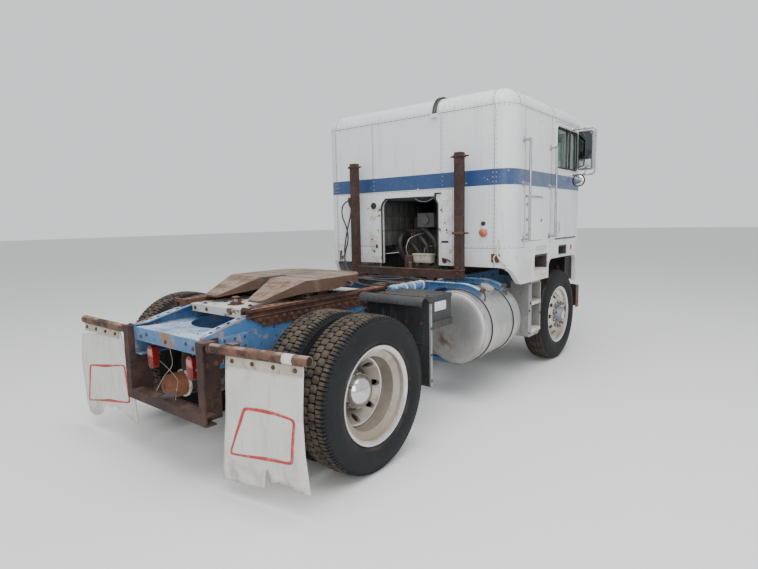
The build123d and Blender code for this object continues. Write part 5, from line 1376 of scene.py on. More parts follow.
def engine_bay():
    """What shows of the engine through the opening: compressor, pipes, castings, valve box and lines."""
    box = Form("compressor", "chassis", "sound_mat")
    box.box((-0.185, 0.035), (1.148, 1.262), (1.585, 1.745), 0.010)
    for z in steps(1.606, 0.028, 5):
        box.box((-0.190, 0.040), (1.160, 1.250), (z, z + 0.007), 0.002)
    box.turned((-0.075, 1.26, 1.668), Y, [(0, 0.052), (0.020, 0.052), (0.026, 0.040), (0.026, 0)], 28)
    pipe = Form("engine_pipes", "chassis", "hose_rubber")
    for x0, x1, z0, z1, r in ((-0.02, -0.235, 1.555, 1.300, 0.026), (0.06, -0.13, 1.50, 1.255, 0.022),
                              (0.16, -0.01, 1.42, 1.225, 0.020)):
        pipe.tube([(x0 + 0.05, 1.145, z0), (x0, 1.230, z0 + 0.01), ((x0 + x1) / 2, 1.300, z0 - 0.02),
                   (x1, 1.315, (z0 + z1) / 2), (x1, 1.290, z1), (x1 + 0.01, 1.22, z1 - 0.06),
                   (x1 + 0.02, 1.15, z1 - 0.09)], r, 14)
    pipe.tube([(0.235, 1.14, 1.50), (0.245, 1.24, 1.50), (0.250, 1.29, 1.43), (0.240, 1.28, 1.32),
               (0.200, 1.22, 1.22), (0.16, 1.15, 1.19)], 0.034, 16)
    housing = Form("engine_castings", "chassis", "dark_steel")
    housing.turned((0, 1.150, BELL_Z), Y, [(0, 0.335), (0.030, 0.335), (0.042, 0.322), (0.120, 0.300),
                                           (0.180, 0.262), (0.180, 0)], 48)
    for c, s in spokes(14):
        housing.bolt((0.318 * c, 1.192, BELL_Z + 0.318 * s), Y, 0.010, 0.010)
    for x in steps(-0.245, 0.070, 8):
        housing.box((x, x + 0.020), (ENGINE_BACK, 1.160), (1.22, 1.53), 0.004)
    housing.box((-0.27, 0.27), (ENGINE_BACK, 1.166), (1.535, 1.556), 0.004)
    housing.box((-0.165, 0.165), (1.36, 1.70), (1.000, 1.022), 0.006)
    housing.bolts((-0.14, 0.0, 0.14), (1.39, 1.53, 1.67), 1.021, Z, 0.010, 0.010)
    housing.turned((0, 1.45, 1.02), Z,
                   [(0, 0.05), (0.05, 0.045), (0.10, 0.022), (0.19, 0.020), (0.20, 0)], 20)
    housing.box((-0.20, 0.20), (0.190, 1.070), (1.688, 1.704), 0.006)
    housing.bolts((-0.18, 0.18), steps(0.24, 0.13, 7), 1.703, Z, 0.009, 0.009)
    tan = Form("valve_box", "chassis", "tan_paint", "rusty_steel")
    tan.box((-0.245, -0.016), (1.335, 1.425), (1.205, 1.300), 0.014)
    tan.box((-0.250, -0.011), (1.330, 1.430), (1.284, 1.306), 0.004)
    tan.slot = 1
    tan.box((-0.022, 0.086), (1.375, 1.445), (1.100, 1.285), 0.012)
    tan.box((-0.26, 0.10), (1.34, 1.44), (1.055, 1.110), 0.006)
    for x in (-0.20, 0.02):
        tan.box((x, x + 0.05), (1.36, 1.42), (1.010, 1.060), 0.004)
    arc = Form("engine_lines", "chassis", "tape_silver")
    arc.tube([(0.055, 1.42, 1.29), (0.050, 1.455, 1.36), (0.030, 1.46, 1.42), (0.010, 1.44, 1.47),
              (-0.01, 1.36, 1.50), (-0.03, 1.25, 1.52), (-0.04, 1.15, 1.52)], 0.0035)
    arc.tube([(-0.08, 1.30, 1.305), (-0.10, 1.31, 1.36), (-0.14, 1.29, 1.38), (-0.16, 1.22, 1.38),
              (-0.17, 1.15, 1.38)], 0.003)


# Cab sides, all with x outward

WINDOW_Z = (2.210, 2.640)
PANES = ((-0.040, 0.335), (-0.300, -0.062))
MIRROR_X = 1.335
MIRROR_Y = -0.150
ROUND_MIRROR = (MIRROR_X - 0.060, 2.085)


def frame_loop(form, y, z, lift, radius, corner=0.03, count=8):
    """Bead round a rectangle on the cab's side, at lift metres outside it."""
    (y0, y1), (z0, z1) = y, z
    line = []
    for cy, cz, start in ((y1 - corner, z1 - corner, 0), (y0 + corner, z1 - corner, 90),
                          (y0 + corner, z0 + corner, 180), (y1 - corner, z0 + corner, 270)):
        for k in range(5):
            turn = math.radians(start + 22.5 * k)
            line.append((CAB_HALF + lift, cy + corner * math.cos(turn), cz + corner * math.sin(turn)))
    form.tube(line + line[:1], radius, count, 1)


def on_skin(inner, outer):
    """Span of x about the cab's side: metres inside it and outside it."""
    return CAB_HALF - inner, CAB_HALF + outer


def side_window(side, name):
    """Rubber and raised moulding round the door's window and vent, and the bar between them."""
    rubber = Form("window_rubber_" + name, "door_" + name, "gasket", side=side)
    z0, z1 = WINDOW_Z
    for y0, y1 in PANES:
        frame_loop(rubber, (y0, y1), WINDOW_Z, -0.002, 0.0095, 0.026)
        for y, z in (((y0, y1), (z0, z0 + 0.012)), ((y0, y1), (z1 - 0.012, z1)),
                     ((y0, y0 + 0.012), WINDOW_Z), ((y1 - 0.012, y1), WINDOW_Z)):
            rubber.box(on_skin(0.028, -0.016), y, z, 0.002)
    rubber.box(on_skin(0.004, 0.006), (-0.062, -0.040), (2.205, 2.645), 0.003)
    raised = Form("window_moulding_" + name, "door_" + name, "cab_paint", side=side)
    frame_loop(raised, (-0.322, 0.357), (2.188, 2.662), 0.000, 0.0065, 0.040)


def door_trim(side, name):
    """Handle grip, lock, sill strip and edge rivets of a door."""
    door = "door_" + name
    iron = Form("door_iron_" + name, door, "chrome", side=side)
    iron.box(on_skin(0.002, 0.010), span(0.240, 0.012), (1.508, 1.604), 0.004)
    iron.turned((CAB_HALF, 0.300, 1.470), X,
                [(-0.001, 0.011), (0.006, 0.011), (0.008, 0.004), (0.004, 0)], 16)
    sill = Form("door_sill_" + name, door, "old_bolt", side=side)
    sill.box(on_skin(0.004, 0.002), (-0.330, 0.345), (1.428, 1.440), 0.002)
    heads = Form("door_rivets_" + name, door, "rivet", side=side)
    for y, low, high in ((-0.325, 1.47, 2.15), (0.425, 1.55, 2.56)):
        rivet_row(heads, (CAB_HALF, y, low), (CAB_HALF, y, high), X, 0.075)


def hatch_trim(side, name):
    """Bright top strip, hinge leaves and latch of the side hatch."""
    iron = Form("hatch_strip_" + name, "hatch_" + name, "chrome", side=side)
    iron.tube([(CAB_HALF + 0.004, 0.735, 1.872), (CAB_HALF + 0.004, 1.150, 1.872)], 0.0065, 10)
    dark = Form("hatch_latches_" + name, "hatch_" + name, "hub_grey", side=side)
    for z in (1.500, 1.650, 1.800):
        dark.box(on_skin(0.002, 0.006), (1.118, 1.150), span(z, 0.014), 0.003)
    dark.turned((CAB_HALF, 0.765, 1.640), X,
                [(-0.001, 0.016), (0.005, 0.016), (0.008, 0.010), (0.004, 0)], 18)


def side_fittings(side, name):
    """Feet of the grab rails, lamp frame, trim round the pockets, painted shadow strips inside them and
    cream treads.
    """
    feet = Form("rail_feet_" + name, "cab", "bright_metal", side=side)
    for y, low, high in ((1.230, 1.450, 2.420), (0.540, 1.457, 2.410)):
        for z in (low + 0.015, (low + high) / 2 + 0.060, high - 0.015):
            feet.turned((CAB_HALF, y, z), X, [(0.0005, 0.030), (0.003, 0.029), (0.003, 0.0)], 20)
            feet.turned((CAB_HALF + 0.003, y, z), X, [(0, 0.0125), (0.012, 0.0105), (0.048, 0.0100),
                                                      (0.056, 0.0145), (0.066, 0.0145), (0.068, 0)], 16)
            for spot in span(z, 0.021):
                feet.dome((CAB_HALF + 0.008, y, spot), X, 0.005, 0.004)
    trim = Form("pocket_trim_" + name, "cab", "cab_paint", side=side)
    frame_loop(trim, (-0.184, -0.122), (1.289, 1.351), 0.002, 0.005, 0.010)
    frame_loop(trim, (0.609, 0.905), (1.318, 1.382), 0.001, 0.004, 0.031)
    frame_loop(trim, (-0.044, 0.254), (1.241, 1.359), 0.000, 0.0045, 0.028)
    frame_loop(trim, (0.558, 0.934), (1.121, 1.294), 0.000, 0.0045, 0.028)
    # Dark strips under the pockets' lips: painted shadow.
    dark = Form("pocket_shadow_" + name, "cab", "dark_iron", side=side)
    for y, z in (((0.570, 0.922), (1.268, 1.286)), ((-0.030, 0.242), (1.335, 1.351)),
                 ((-0.034, -0.020), (1.252, 1.345)), ((0.568, 0.578), (1.132, 1.282))):
        dark.box(on_skin(0.140, -0.006), y, z, 0.002)
    tread = Form("step_pocket_" + name, "cab", "cream", side=side)
    tread.box(on_skin(0.145, -0.004), (0.566, 0.926), (1.1255, 1.1320), 0.002)
    for y in steps(0.590, 0.031, 11):
        tread.box(on_skin(0.130, -0.010), (y, y + 0.009), (1.131, 1.137), 0.002)
    tread.box(on_skin(0.046, 0.004), (0.590, 0.925), (1.070, 1.122), 0.005)


def ladder_trim(side, name):
    """Cream treads with ridges, bolts and edge strip of the ladder box."""
    tread = Form("ladder_treads_" + name, "chassis", "cream", side=side)
    across = (0.940, 1.134)
    for z in (0.765, 0.470):
        tread.box(across, (0.6225, 0.8490), (z, z + 0.020), 0.003)
        for y in steps(0.636, 0.030, 7):
            tread.box(across, (y, y + 0.010), (z + 0.019, z + 0.026), 0.002)
        tread.box((1.126, 1.140), (0.618, 0.853), (z - 0.012, z + 0.022), 0.003)
    bolts = Form("ladder_bolts_" + name, "chassis", "old_bolt", side=side)
    for y, z in ((0.610, 0.990), (0.905, 0.990), (0.905, 0.700), (0.905, 0.460), (0.612, 0.640),
                 (0.880, 0.777)):
        bolts.bolt((1.130, y, z), X, 0.009, 0.009)
    bolts.bolts((0.96, 1.08), (0.900, 0.875), 1.004, Z, 0.010, 0.010)
    edge = Form("ladder_edge_" + name, "chassis", "grey_aluminium", side=side)
    edge.box(span(1.130, 0.003), span(0.855, 0.003), (0.47, 0.985), 0.002)
    edge.tube([(1.130, 0.857, 0.468), (1.130, 0.857, 0.986)], 0.004)
    for z in steps(0.560, 0.13, 4):
        edge.box((0.945, 0.952), (0.64, 0.83), (z, z + 0.05), 0.002)


def mirror_trim(side, name):
    """Glasses of the tall and the round mirror, their rubber and clamps."""
    door = "door_" + name
    # The tall glass's near-black silver is a painted reflection.
    dark = Form("tall_mirror_glass_" + name, door, "reflection_painted_mirror", side=side)
    glass = Form("mirror_glass_" + name, door, "mirror_glass", side=side)
    rubber = Form("mirror_rubber_" + name, door, "gasket", side=side)
    iron = Form("mirror_clamps_" + name, door, "chrome", side=side)
    face = MIRROR_Y + 0.028
    x0, x1 = span(MIRROR_X, 0.068)
    for pane, z0, z1 in ((dark, 2.330, 2.622), (glass, 2.216, 2.318)):
        pane.box((x0, x1), (face - 0.001, face + 0.004), (z0, z1), 0.003)
        for x, z in (((x0 - 0.006, x1 + 0.006), (z0 - 0.006, z0)),
                     ((x0 - 0.006, x1 + 0.006), (z1, z1 + 0.006)), ((x0 - 0.006, x0), (z0, z1)),
                     ((x1, x1 + 0.006), (z0, z1))):
            rubber.box(x, (face - 0.001, face + 0.007), z, 0.002)
    x, z = ROUND_MIRROR
    back = -0.106
    glass.turned((x, back, z), Y, [(0.0, 0.062), (0.006, 0.055), (0.010, 0.035), (0.012, 0)], 36)
    rubber.hoop((x, back, z), Y, (-0.010, 0.004), (0.061, 0.071), 36)
    iron.turned((x, back - 0.024, z), -Y, [(0, 0.062), (0.010, 0.050), (0.018, 0.024), (0.020, 0)], 36)
    for z in (2.665, 2.150):
        iron.box(span(MIRROR_X, 0.030), span(MIRROR_Y, 0.015), span(z, 0.013), 0.004)
        iron.turned((CAB_HALF, MIRROR_Y, z), X, [(0.0005, 0.030), (0.006, 0.028), (0.010, 0.014),
                                                 (0.020, 0.013)], 20)
        for spot in span(z, 0.020):
            iron.dome((CAB_HALF + 0.006, MIRROR_Y, spot), X, 0.005, 0.005)


# Deck

RAIL_X = 0.430
TANK_X, TANK_Z = 0.875, 0.690
TANK_ENDS = ((1.270, -1), (2.060, 1))
STRAPS = (1.440, 1.880)
BOX_TRAY_Z = 0.828
FENDER_Y = 2.864
SLIDE_X = 0.442
SLIDE_TOP = 1.0625
PLATE_PIN = 3.725
TRUNNION = 3.245


def tanks(side, name):
    """Head rings, seam, filler and dark straps of a fuel tank."""
    shell = Form("tank_heads_" + name, "chassis", "tank_aluminium", side=side)
    for y, out in TANK_ENDS:
        foot = (TANK_X, y - out * 0.055, TANK_Z)
        shell.turned(foot, Y * out, [(-0.010, 0.330), (-0.010, 0.3345), (0.006, 0.3345), (0.012, 0.326),
                                     (0.012, 0.318)], 72)
        shell.turned(foot, Y * out, [(0.0005, 0.329), (0.014, 0.318), (0.026, 0.280), (0.040, 0.210),
                                     (0.050, 0.120), (0.0545, 0.040), (0.055, 0)], 72)
    shell.box(span(TANK_X, 0.006), (1.34, 1.99), (TANK_Z - 0.332, TANK_Z - 0.326), 0.001)
    filler = Form("tank_filler_" + name, "chassis", "grey_aluminium", side=side)
    out = Vector((math.sin(math.radians(24)), 0, math.cos(math.radians(24))))
    x, z = TANK_X + 0.329 * out.x, TANK_Z + 0.329 * out.z
    filler.turned((x, 1.660, z), out, [(-0.006, 0.062), (0.020, 0.060), (0.024, 0.052), (0.030, 0.052),
                                       (0.030, 0.066), (0.052, 0.064), (0.058, 0.050), (0.058, 0)], 36)
    filler.box(span(x, 0.010), (1.610, 1.710), (z + 0.050, z + 0.062), 0.003)
    straps = Form("tank_straps_" + name, "chassis", "tank_aluminium", side=side)
    edges = Form("strap_edges_" + name, "chassis", "gasket", side=side)
    bolts = Form("strap_bolts_" + name, "chassis", "old_bolt", side=side)
    brace = Form("bracket_braces_" + name, "chassis", "frame_paint", side=side)
    out = Vector((math.sin(math.radians(33)), 0, math.cos(math.radians(33))))
    along = Vector((out.z, 0, -out.x))
    for y in STRAPS:
        middle_line = (TANK_X, y, TANK_Z)
        straps.hoop(middle_line, Y, (-0.0310, 0.0310), (0.3290, 0.3400), 96)
        for ends in ((-0.0360, -0.0300), (0.0300, 0.0360)):
            edges.hoop(middle_line, Y, ends, (0.3290, 0.3375), 96)
        top = Vector(middle_line) + out * 0.400
        bolts.tube([tuple(top - out * 0.060), tuple(top + out * 0.020)], 0.0085, 10)
        bolts.turned(tuple(top - Y * 0.034), Y, [(0, 0), (0, 0.015), (0.068, 0.015), (0.068, 0)], 16)
        bolts.bolt(tuple(top + out * 0.004), out, 0.016, 0.016)
        bolts.tube([tuple(top + along * 0.004), tuple(top + along * 0.050 - out * 0.03),
                    tuple(top + along * 0.075 - out * 0.085)], 0.007)
        bolts.bolts((0.470, 0.580, 0.700, 0.820), y, 1.0801, Z, 0.0085, 0.008)
        bolts.bolts(0.442, span(y, 0.028), (0.76, 0.86, 0.96), X, 0.010, 0.010)
        brace.tube([(0.445, y - 0.022, 0.90), (0.530, y - 0.022, 0.985),
                    (0.640, y - 0.022, 1.060)], 0.011, 10)


def battery_details():
    """Lid beads, latches, blank label and ribs of the battery box, its tray's bolts and its leads."""
    trim = Form("battery_trim", "chassis", "black_plastic", side=-1)
    trim.box((0.534, 1.056), (2.356, 2.360), (1.034, 1.062), 0.001)
    for x in (1.00, 0.80, 0.60):
        trim.box(span(x, 0.020), (2.690, 2.704), (1.000, 1.052), 0.003)
        trim.box(span(x, 0.008), (2.700, 2.712), (0.985, 1.010), 0.002)
    for z in (0.872, 0.892):
        trim.box((1.048, 1.054), (2.39, 2.66), (z, z + 0.008), 0.002)
    trim.bolts((1.01, 0.58), (2.40, 2.65), 1.0655, Z, 0.010, 0.009)
    label = Form("battery_label", "chassis", "sign_white", side=-1)
    label.box((1.0495, 1.0530), (2.445, 2.612), (0.940, 1.014), 0.001)
    bolts = Form("tray_bolts", "chassis", "old_bolt", side=-1)
    bolts.bolts((1.03, 0.90, 0.75, 0.60, 0.49), 2.700, BOX_TRAY_Z, Y, 0.008, 0.008)
    bolts.bolts(1.060, (2.39, 2.52, 2.66), BOX_TRAY_Z, X, 0.008, 0.008)
    leads = Form("battery_leads", "chassis", "hose_rubber", side=-1)
    leads.tube([(0.533, 2.50, 1.020), (0.505, 2.50, 1.060), (0.480, 2.48, 1.085), (0.455, 2.46, 1.074),
                (0.420, 2.44, 1.060)], 0.010, 10)
    leads.tube([(0.533, 2.58, 1.010), (0.500, 2.585, 1.040), (0.470, 2.59, 1.010),
                (0.434, 2.60, 0.97)], 0.010, 10)


def fender_trim(side, name):
    """Grey edge strip, bolts and crease lines of the quarter fender."""
    strip = Form("fender_edge_" + name, "chassis", "grey_aluminium", side=side)
    strip.box((1.163, 1.1815), (2.851, 2.869), (0.412, 1.046), 0.003)
    bolts = Form("fender_bolts_" + name, "chassis", "old_bolt", side=side)
    across = (0.66, 0.80, 0.95, 1.09)
    bolts.bolts(across, FENDER_Y, 1.020, Y, 0.012, 0.011)
    bolts.bolts(across, FENDER_Y, 0.890, Y, 0.009, 0.009)
    bolts.bolts(1.1815, 2.860, (0.46, 0.66, 0.86), X, 0.0075, 0.007)
    crease = Form("fender_creases_" + name, "chassis", "black_plastic", side=side)
    for z in (0.52, 0.74):
        crease.tube([(0.58, FENDER_Y, z), (1.15, FENDER_Y, z - 0.006)], 0.004)
    crease.tube([(0.565, 2.863, 0.43), (0.565, 2.863, 1.03)], 0.005)
    crease.box((0.575, 1.155), (2.860, 2.8665), (0.412, 0.424), 0.002)


def slide_details():
    """Bolts, lips and end stops of the slide rails, and the plate's bolts and pin."""
    bolts = Form("slide_bolts", "chassis", "old_bolt")
    for _ in bolts.sides():
        bolts.bolts(SLIDE_X, steps(2.565, 0.072, 19), 1.010, X, 0.013, 0.014)
        bolts.bolts(SLIDE_X, steps(2.60, 0.136, 10), 0.975, X, 0.010, 0.011)
        bolts.bolts(0.352, steps(2.62, 0.118, 11), SLIDE_TOP, Z, 0.0095, 0.010)
    bolts.bolts((-0.30, -0.15, 0.15, 0.30), 3.880, 1.034, Y, 0.010, 0.009)
    for x, y in ((-0.16, 3.72), (0.17, 3.70), (-0.10, 3.58), (0.12, 3.60), (-0.24, 3.83), (0.24, 3.83)):
        bolts.bolt((x, y, SLIDE_TOP), Z, 0.012, 0.012)
    bolts.bolt((0, PLATE_PIN, SLIDE_TOP), Z, 0.042, 0.022)
    lips = Form("slide_lips", "chassis", "slide_steel")
    for _ in lips.sides():
        lips.box((0.4415, 0.452), (2.475, 3.955), (1.034, 1.040), 0.002)
        lips.box((0.372, 0.377), (2.475, 3.955), (1.0915, 1.0940), 0.001)
        lips.box((0.446, 0.458), (2.472, 3.958), (1.0700, 1.0790), 0.003)
        for y in (2.485, 3.945):
            lips.box((0.376, 0.454), span(y, 0.010), (1.091, 1.104), 0.003)
    stem = Form("pin_stem", "chassis", "cream")
    stem.turned((0, PLATE_PIN, 1.075), Z, [(0, 0.0135), (0.028, 0.0135), (0.0285, 0)], 24)
    head = Form("pin_head", "chassis", "dark_iron")
    head.turned((0, PLATE_PIN, 1.1085), Z, [(0, 0), (0, 0.0300), (0.0075, 0.0300), (0.0110, 0.0250),
                                            (0.0132, 0.0140), (0.0134, 0)], 32)


def fifth_wheel_details():
    """Lock jaw, pivot pins and release bar of the fifth wheel."""
    jaw = Form("lock_jaw", "fifth_wheel_plate", "dark_iron")
    outline = ((-0.070, 3.215), (-0.029, 3.215), (-0.026, TRUNNION), (-0.029, 3.275), (-0.060, 3.300),
               (-0.085, 3.270))
    jaw.prism([(x, y, 1.195) for x, y in outline], Z * 0.020, 0.003)
    pins = Form("pivot_caps", "fifth_wheel_carriage", "dark_iron")
    for _ in pins.sides():
        pins.turned((0.441, TRUNNION, 1.150), X,
                    [(-0.004, 0.021), (0.006, 0.021), (0.010, 0.016), (0.010, 0)], 24)
        pins.disc((0.40, TRUNNION, 1.150), X, 0.034, (-0.02, 0.012), 28)
        pins.bolts((0.385, 0.445), span(TRUNNION, 0.160), 1.1118, Z, 0.011, 0.011)
    lever = Form("release_bar", "fifth_wheel_plate", "rusty_steel")
    lever.tube([(-0.455, 3.010, 1.190), (-0.520, 3.010, 1.186), (-0.545, 3.020, 1.170),
                (-0.548, 3.06, 1.158)], 0.009, 10)
    lever.tube([(0.36, 2.735, 1.205), (0.36, 2.712, 1.190), (0.34, 2.712, 1.175)], 0.007, 10)


def air_lines():
    """Lines along the rails, with their valves, and the clips of the air tanks."""
    line = Form("frame_lines", "chassis", "hose_rubber")
    line.tube([(0.436, 2.72, 0.98), (0.470, 2.72, 1.00), (0.520, 2.74, 1.06), (0.550, 2.78, 1.085),
               (0.545, 2.83, 1.05), (0.520, 2.852, 0.98)], 0.011, 12)
    for y, z in ((1.25, 0.96), (2.28, 0.98)):
        line.tube([(-0.436, y - 0.25, z), (-0.444, y, z + 0.012), (-0.444, y + 0.25, z - 0.008),
                   (-0.438, y + 0.5, z)], 0.009, 10)
    line.tube([(0.446, 0.9, 0.95), (0.446, 1.6, 0.965), (0.446, 2.3, 0.95)], 0.012, 10)
    line.tube([(0.446, 0.9, 0.91), (0.446, 1.6, 0.90), (0.446, 2.3, 0.915)], 0.008, 10)
    red = Form("valve_red", "chassis", "lamp_red")
    red.turned((-0.436, 2.30, 1.012), -X, [(0, 0.022), (0.030, 0.022), (0.036, 0.014), (0.036, 0)], 18)
    red.box((-0.436, -0.462), (2.225, 2.262), (0.985, 1.035), 0.004)
    clips = Form("tank_clips", "chassis", "cream")
    clips.box((-0.436, -0.470), (2.330, 2.352), (0.975, 1.030), 0.004)
    for y in (1.925, 2.200):
        for part in (0.055, 0.205):
            clips.hoop((-0.484, y + part - 0.009, 1.050), Y, (0, 0.018), (0.0452, 0.0475), 36)
    valves = Form("air_valves", "chassis", "dark_iron")
    for y, z in ((2.08, 0.95), (2.15, 1.00), (2.72, 0.93)):
        valves.box((-0.430, -0.492), span(y, 0.028), (z - 0.030, z + 0.026), 0.006)
        valves.turned((-0.462, y, z + 0.026), Z,
                      [(0, 0.016), (0.018, 0.016), (0.022, 0.008), (0.030, 0)], 16)
        valves.tube([(-0.462, y + 0.026, z), (-0.466, y + 0.06, z + 0.01), (-0.450, y + 0.09, z - 0.01),
                     (-0.434, y + 0.10, z - 0.02)], 0.006)


def frame_bolts():
    """Bolts and plates on the rails' webs, and black discs of painted shade for the holes in their sloping
    ends and in the tail plate.
    """
    holes = Form("frame_hole_shade", "chassis", "hole_painted_shade")
    slope = (1.050 - 0.962) / 0.400
    up = Vector((0, slope, 1)).normalized()
    for _ in holes.sides():
        for x, y in ((0.374, 3.985), (0.374, 4.060), (0.374, 4.140), (0.402, 4.215)):
            holes.disc((x, y, 1.050 - (y - 3.9) * slope), up, 0.013, (-0.002, 0.0012), 20)
    for x, y in ((-0.20, 4.180), (-0.17, 4.190), (0.27, 4.10), (0.25, 4.05)):
        holes.disc((x, y, 0.946), Z, 0.007, (-0.002, 0.0012), 16)
    bolts = Form("frame_bolts", "chassis", "old_bolt")
    for _ in bolts.sides():
        bolts.bolts(RAIL_X, (-0.525, 2.085, 2.455, 2.995), (0.850, 0.890, 0.930), X, 0.010, 0.011)
        bolts.bolts(RAIL_X, (0.10, 0.34, 0.60, 0.82, 1.05, 1.20), (0.80, 1.00), X, 0.009, 0.010)
        bolts.bolts(RAIL_X, (3.98, 4.06, 4.14), (0.80, 0.86, 0.92), X, 0.010, 0.011)
    plates = Form("frame_plates", "chassis", "frame_paint")
    for _ in plates.sides():
        plates.box((0.4305, 0.437), (3.955, 4.165), (0.765, 0.945), 0.003)
        plates.box((0.4305, 0.436), (2.435, 2.475), (0.83, 0.95), 0.002)


def post_details():
    """Clamp rods and bolts of the rusty posts, and the fittings of the hoses."""
    iron = Form("post_iron", "chassis", "old_bolt")
    right, left, line = -0.705, 0.630, 1.620
    iron.tube([(right + 0.082, line, 1.533), (right - 0.098, line, 1.533)], 0.009, 10)
    iron.box(span(right, 0.044), span(line, 0.044), (1.520, 1.546), 0.003)
    for x in (right, left):
        iron.bolt((x - 0.055, line, 2.262), -X, 0.012, 0.012)
        iron.bolt((x + 0.055, line, 2.262), X, 0.012, 0.012)
        iron.bolts(x, 1.658, (1.19, 1.14), Y, 0.011, 0.010)
        iron.box(span(x, 0.046), span(line, 0.046), (1.165, 1.174), 0.003)
    iron.bolts((-0.362, 0.414), span(line, 0.026), 1.165, Z, 0.010, 0.010)
    plug = Form("hose_fittings", "chassis", "dark_iron")
    plug.box((left + 0.036, left + 0.075), (1.590, 1.650), (1.840, 1.875), 0.005)
    plug.turned((0.688, 1.626, 1.862), -Z,
                [(-0.02, 0.020), (0.030, 0.020), (0.040, 0.012), (0.050, 0.010)], 18)
    plug.turned((0.700, 1.580, 1.905), X,
                [(-0.02, 0.020), (0.020, 0.020), (0.034, 0.013), (0.046, 0.011)], 18)


DECK_HOSES = [
    # radius, route
    (0.013, ((0.40, 1.70, 1.060), (0.20, 1.76, 1.075), (-0.05, 1.74, 1.080), (-0.30, 1.82, 1.078),
             (-0.42, 1.90, 1.062))),
    (0.012, ((0.41, 1.80, 1.058), (0.25, 1.90, 1.072), (0.02, 1.86, 1.066), (-0.20, 1.72, 1.074),
             (-0.38, 1.70, 1.060))),
    (0.015, ((0.36, 2.02, 1.062), (0.22, 2.10, 1.072), (0.05, 2.06, 1.070), (-0.12, 2.12, 1.076),
             (-0.36, 2.16, 1.062))),
    (0.012, ((0.55, 1.55, 1.10), (0.48, 1.70, 1.075), (0.44, 1.88, 1.066), (0.40, 2.10, 1.064),
             (0.37, 2.30, 1.060))),
    (0.014, ((0.39, 2.28, 1.060), (0.24, 2.34, 1.080), (0.08, 2.30, 1.084), (-0.10, 2.38, 1.070),
             (-0.38, 2.40, 1.060))),
    (0.011, ((0.42, 1.95, 1.060), (0.30, 2.16, 1.088), (0.10, 2.22, 1.104), (-0.14, 2.18, 1.092),
             (-0.40, 2.05, 1.060))),
    (0.015, ((0.62, 1.42, 1.10), (0.56, 1.54, 1.070), (0.46, 1.66, 1.062), (0.43, 1.90, 1.060),
             (0.43, 2.20, 1.058))),
]


def deck_cables():
    """Black hoses and junction boxes on the frame behind the cab."""
    lines = Form("deck_hoses", "chassis", "hose_rubber")
    for radius, route in DECK_HOSES:
        lines.tube(route, radius, 10)
    boxes = Form("deck_boxes", "chassis", "dark_iron")
    boxes.box((-0.02, 0.14), (2.06, 2.20), (1.05, 1.11), 0.008)
    boxes.box((-0.30, -0.20), (2.24, 2.36), (1.05, 1.09), 0.006)
    boxes.box((0.30, 0.42), (1.36, 1.52), (1.051, 1.145), 0.006)


# Tail

DRIVE_LINE = 3.505
AXLE_HEIGHT = 0.528
PIPE_Z = 0.915
SWING = Vector((-PIPE_SWING[0], -PIPE_SWING[1], 0)).normalized()


def chambers():
    """Orange-brown cups over the brake chambers' rear ends, with clamp bands, bolts and hoses."""
    cup = Form("chamber_cups", "chassis", "cup_orange")
    pale = Form("chamber_rings", "chassis", "cream")
    dark = Form("chamber_bands", "chassis", "dark_iron")
    x, z, rear = 0.455, 0.425, 4.035
    for side in (-1, 1):
        cup.side = pale.side = dark.side = side
        cup.turned((x, rear - 0.100, z), Y, [(0.0, 0.088), (0.004, 0.095), (0.104, 0.094), (0.128, 0.084),
                                             (0.144, 0.062), (0.152, 0.036), (0.153, 0.015), (0.144, 0.011),
                                             (0.144, 0)], 48)
        dark.disc((x, rear + 0.045, z), Y, 0.0125, (-0.002, 0.001), 16)
        dark.turned((x, rear - 0.190, z + 0.002), Y, [(-0.012, 0.089), (-0.012, 0.1015), (-0.004, 0.1045),
                                                      (0.012, 0.1015), (0.012, 0.089)], 48)
        pale.turned((x, rear - 0.108, z), Y,
                    [(-0.010, 0.094), (-0.008, 0.108), (0.006, 0.110), (0.010, 0.100), (0.010, 0.094)], 48)
        for turn in (40, 220):
            c, s = 0.100 * math.cos(math.radians(turn)), 0.100 * math.sin(math.radians(turn))
            dark.tube([(x + side * (c + end), rear - 0.125, z + s) for end in (-0.02, 0.02)], 0.009, 10)
        dark.tube([(x - 0.02, rear - 0.10, z + 0.095), (x - 0.04, rear - 0.12, z + 0.18),
                   (x - 0.03, rear - 0.22, z + 0.28), (0.405, rear - 0.30, z + 0.33)], 0.009, 10)


def lamp_details():
    """Ribbed lower lens, pale upper lens, screws and wire of each tail lamp."""
    red = Form("lamp_ribs", "chassis", "lamp_red")
    pale = Form("lamp_tops", "chassis", "lamp_pink")
    iron = Form("lamp_screws", "chassis", "dark_iron")
    for x in (-0.250, 0.250):
        for z in steps(0.675, 0.0125, 6):
            red.box(span(x, 0.030), (4.284, 4.2885), (z, z + 0.006), 0.002)
        pale.box(span(x, 0.030), (4.284, 4.288), (0.757, 0.800), 0.004)
        pale.box(span(x, 0.036), (4.283, 4.2865), (0.748, 0.753), 0.001)
        for z in (0.670, 0.809):
            iron.dome((x, 4.288, z), Y, 0.005, 0.003)
        iron.tube([(x, 4.238, 0.70), (x + 0.03, 4.215, 0.74), (x + 0.02, 4.21, 0.85),
                   (x + 0.01, 4.24, 0.935)], 0.004)
        iron.bolt((x, 4.2995, 0.905), Y, 0.009, 0.008)


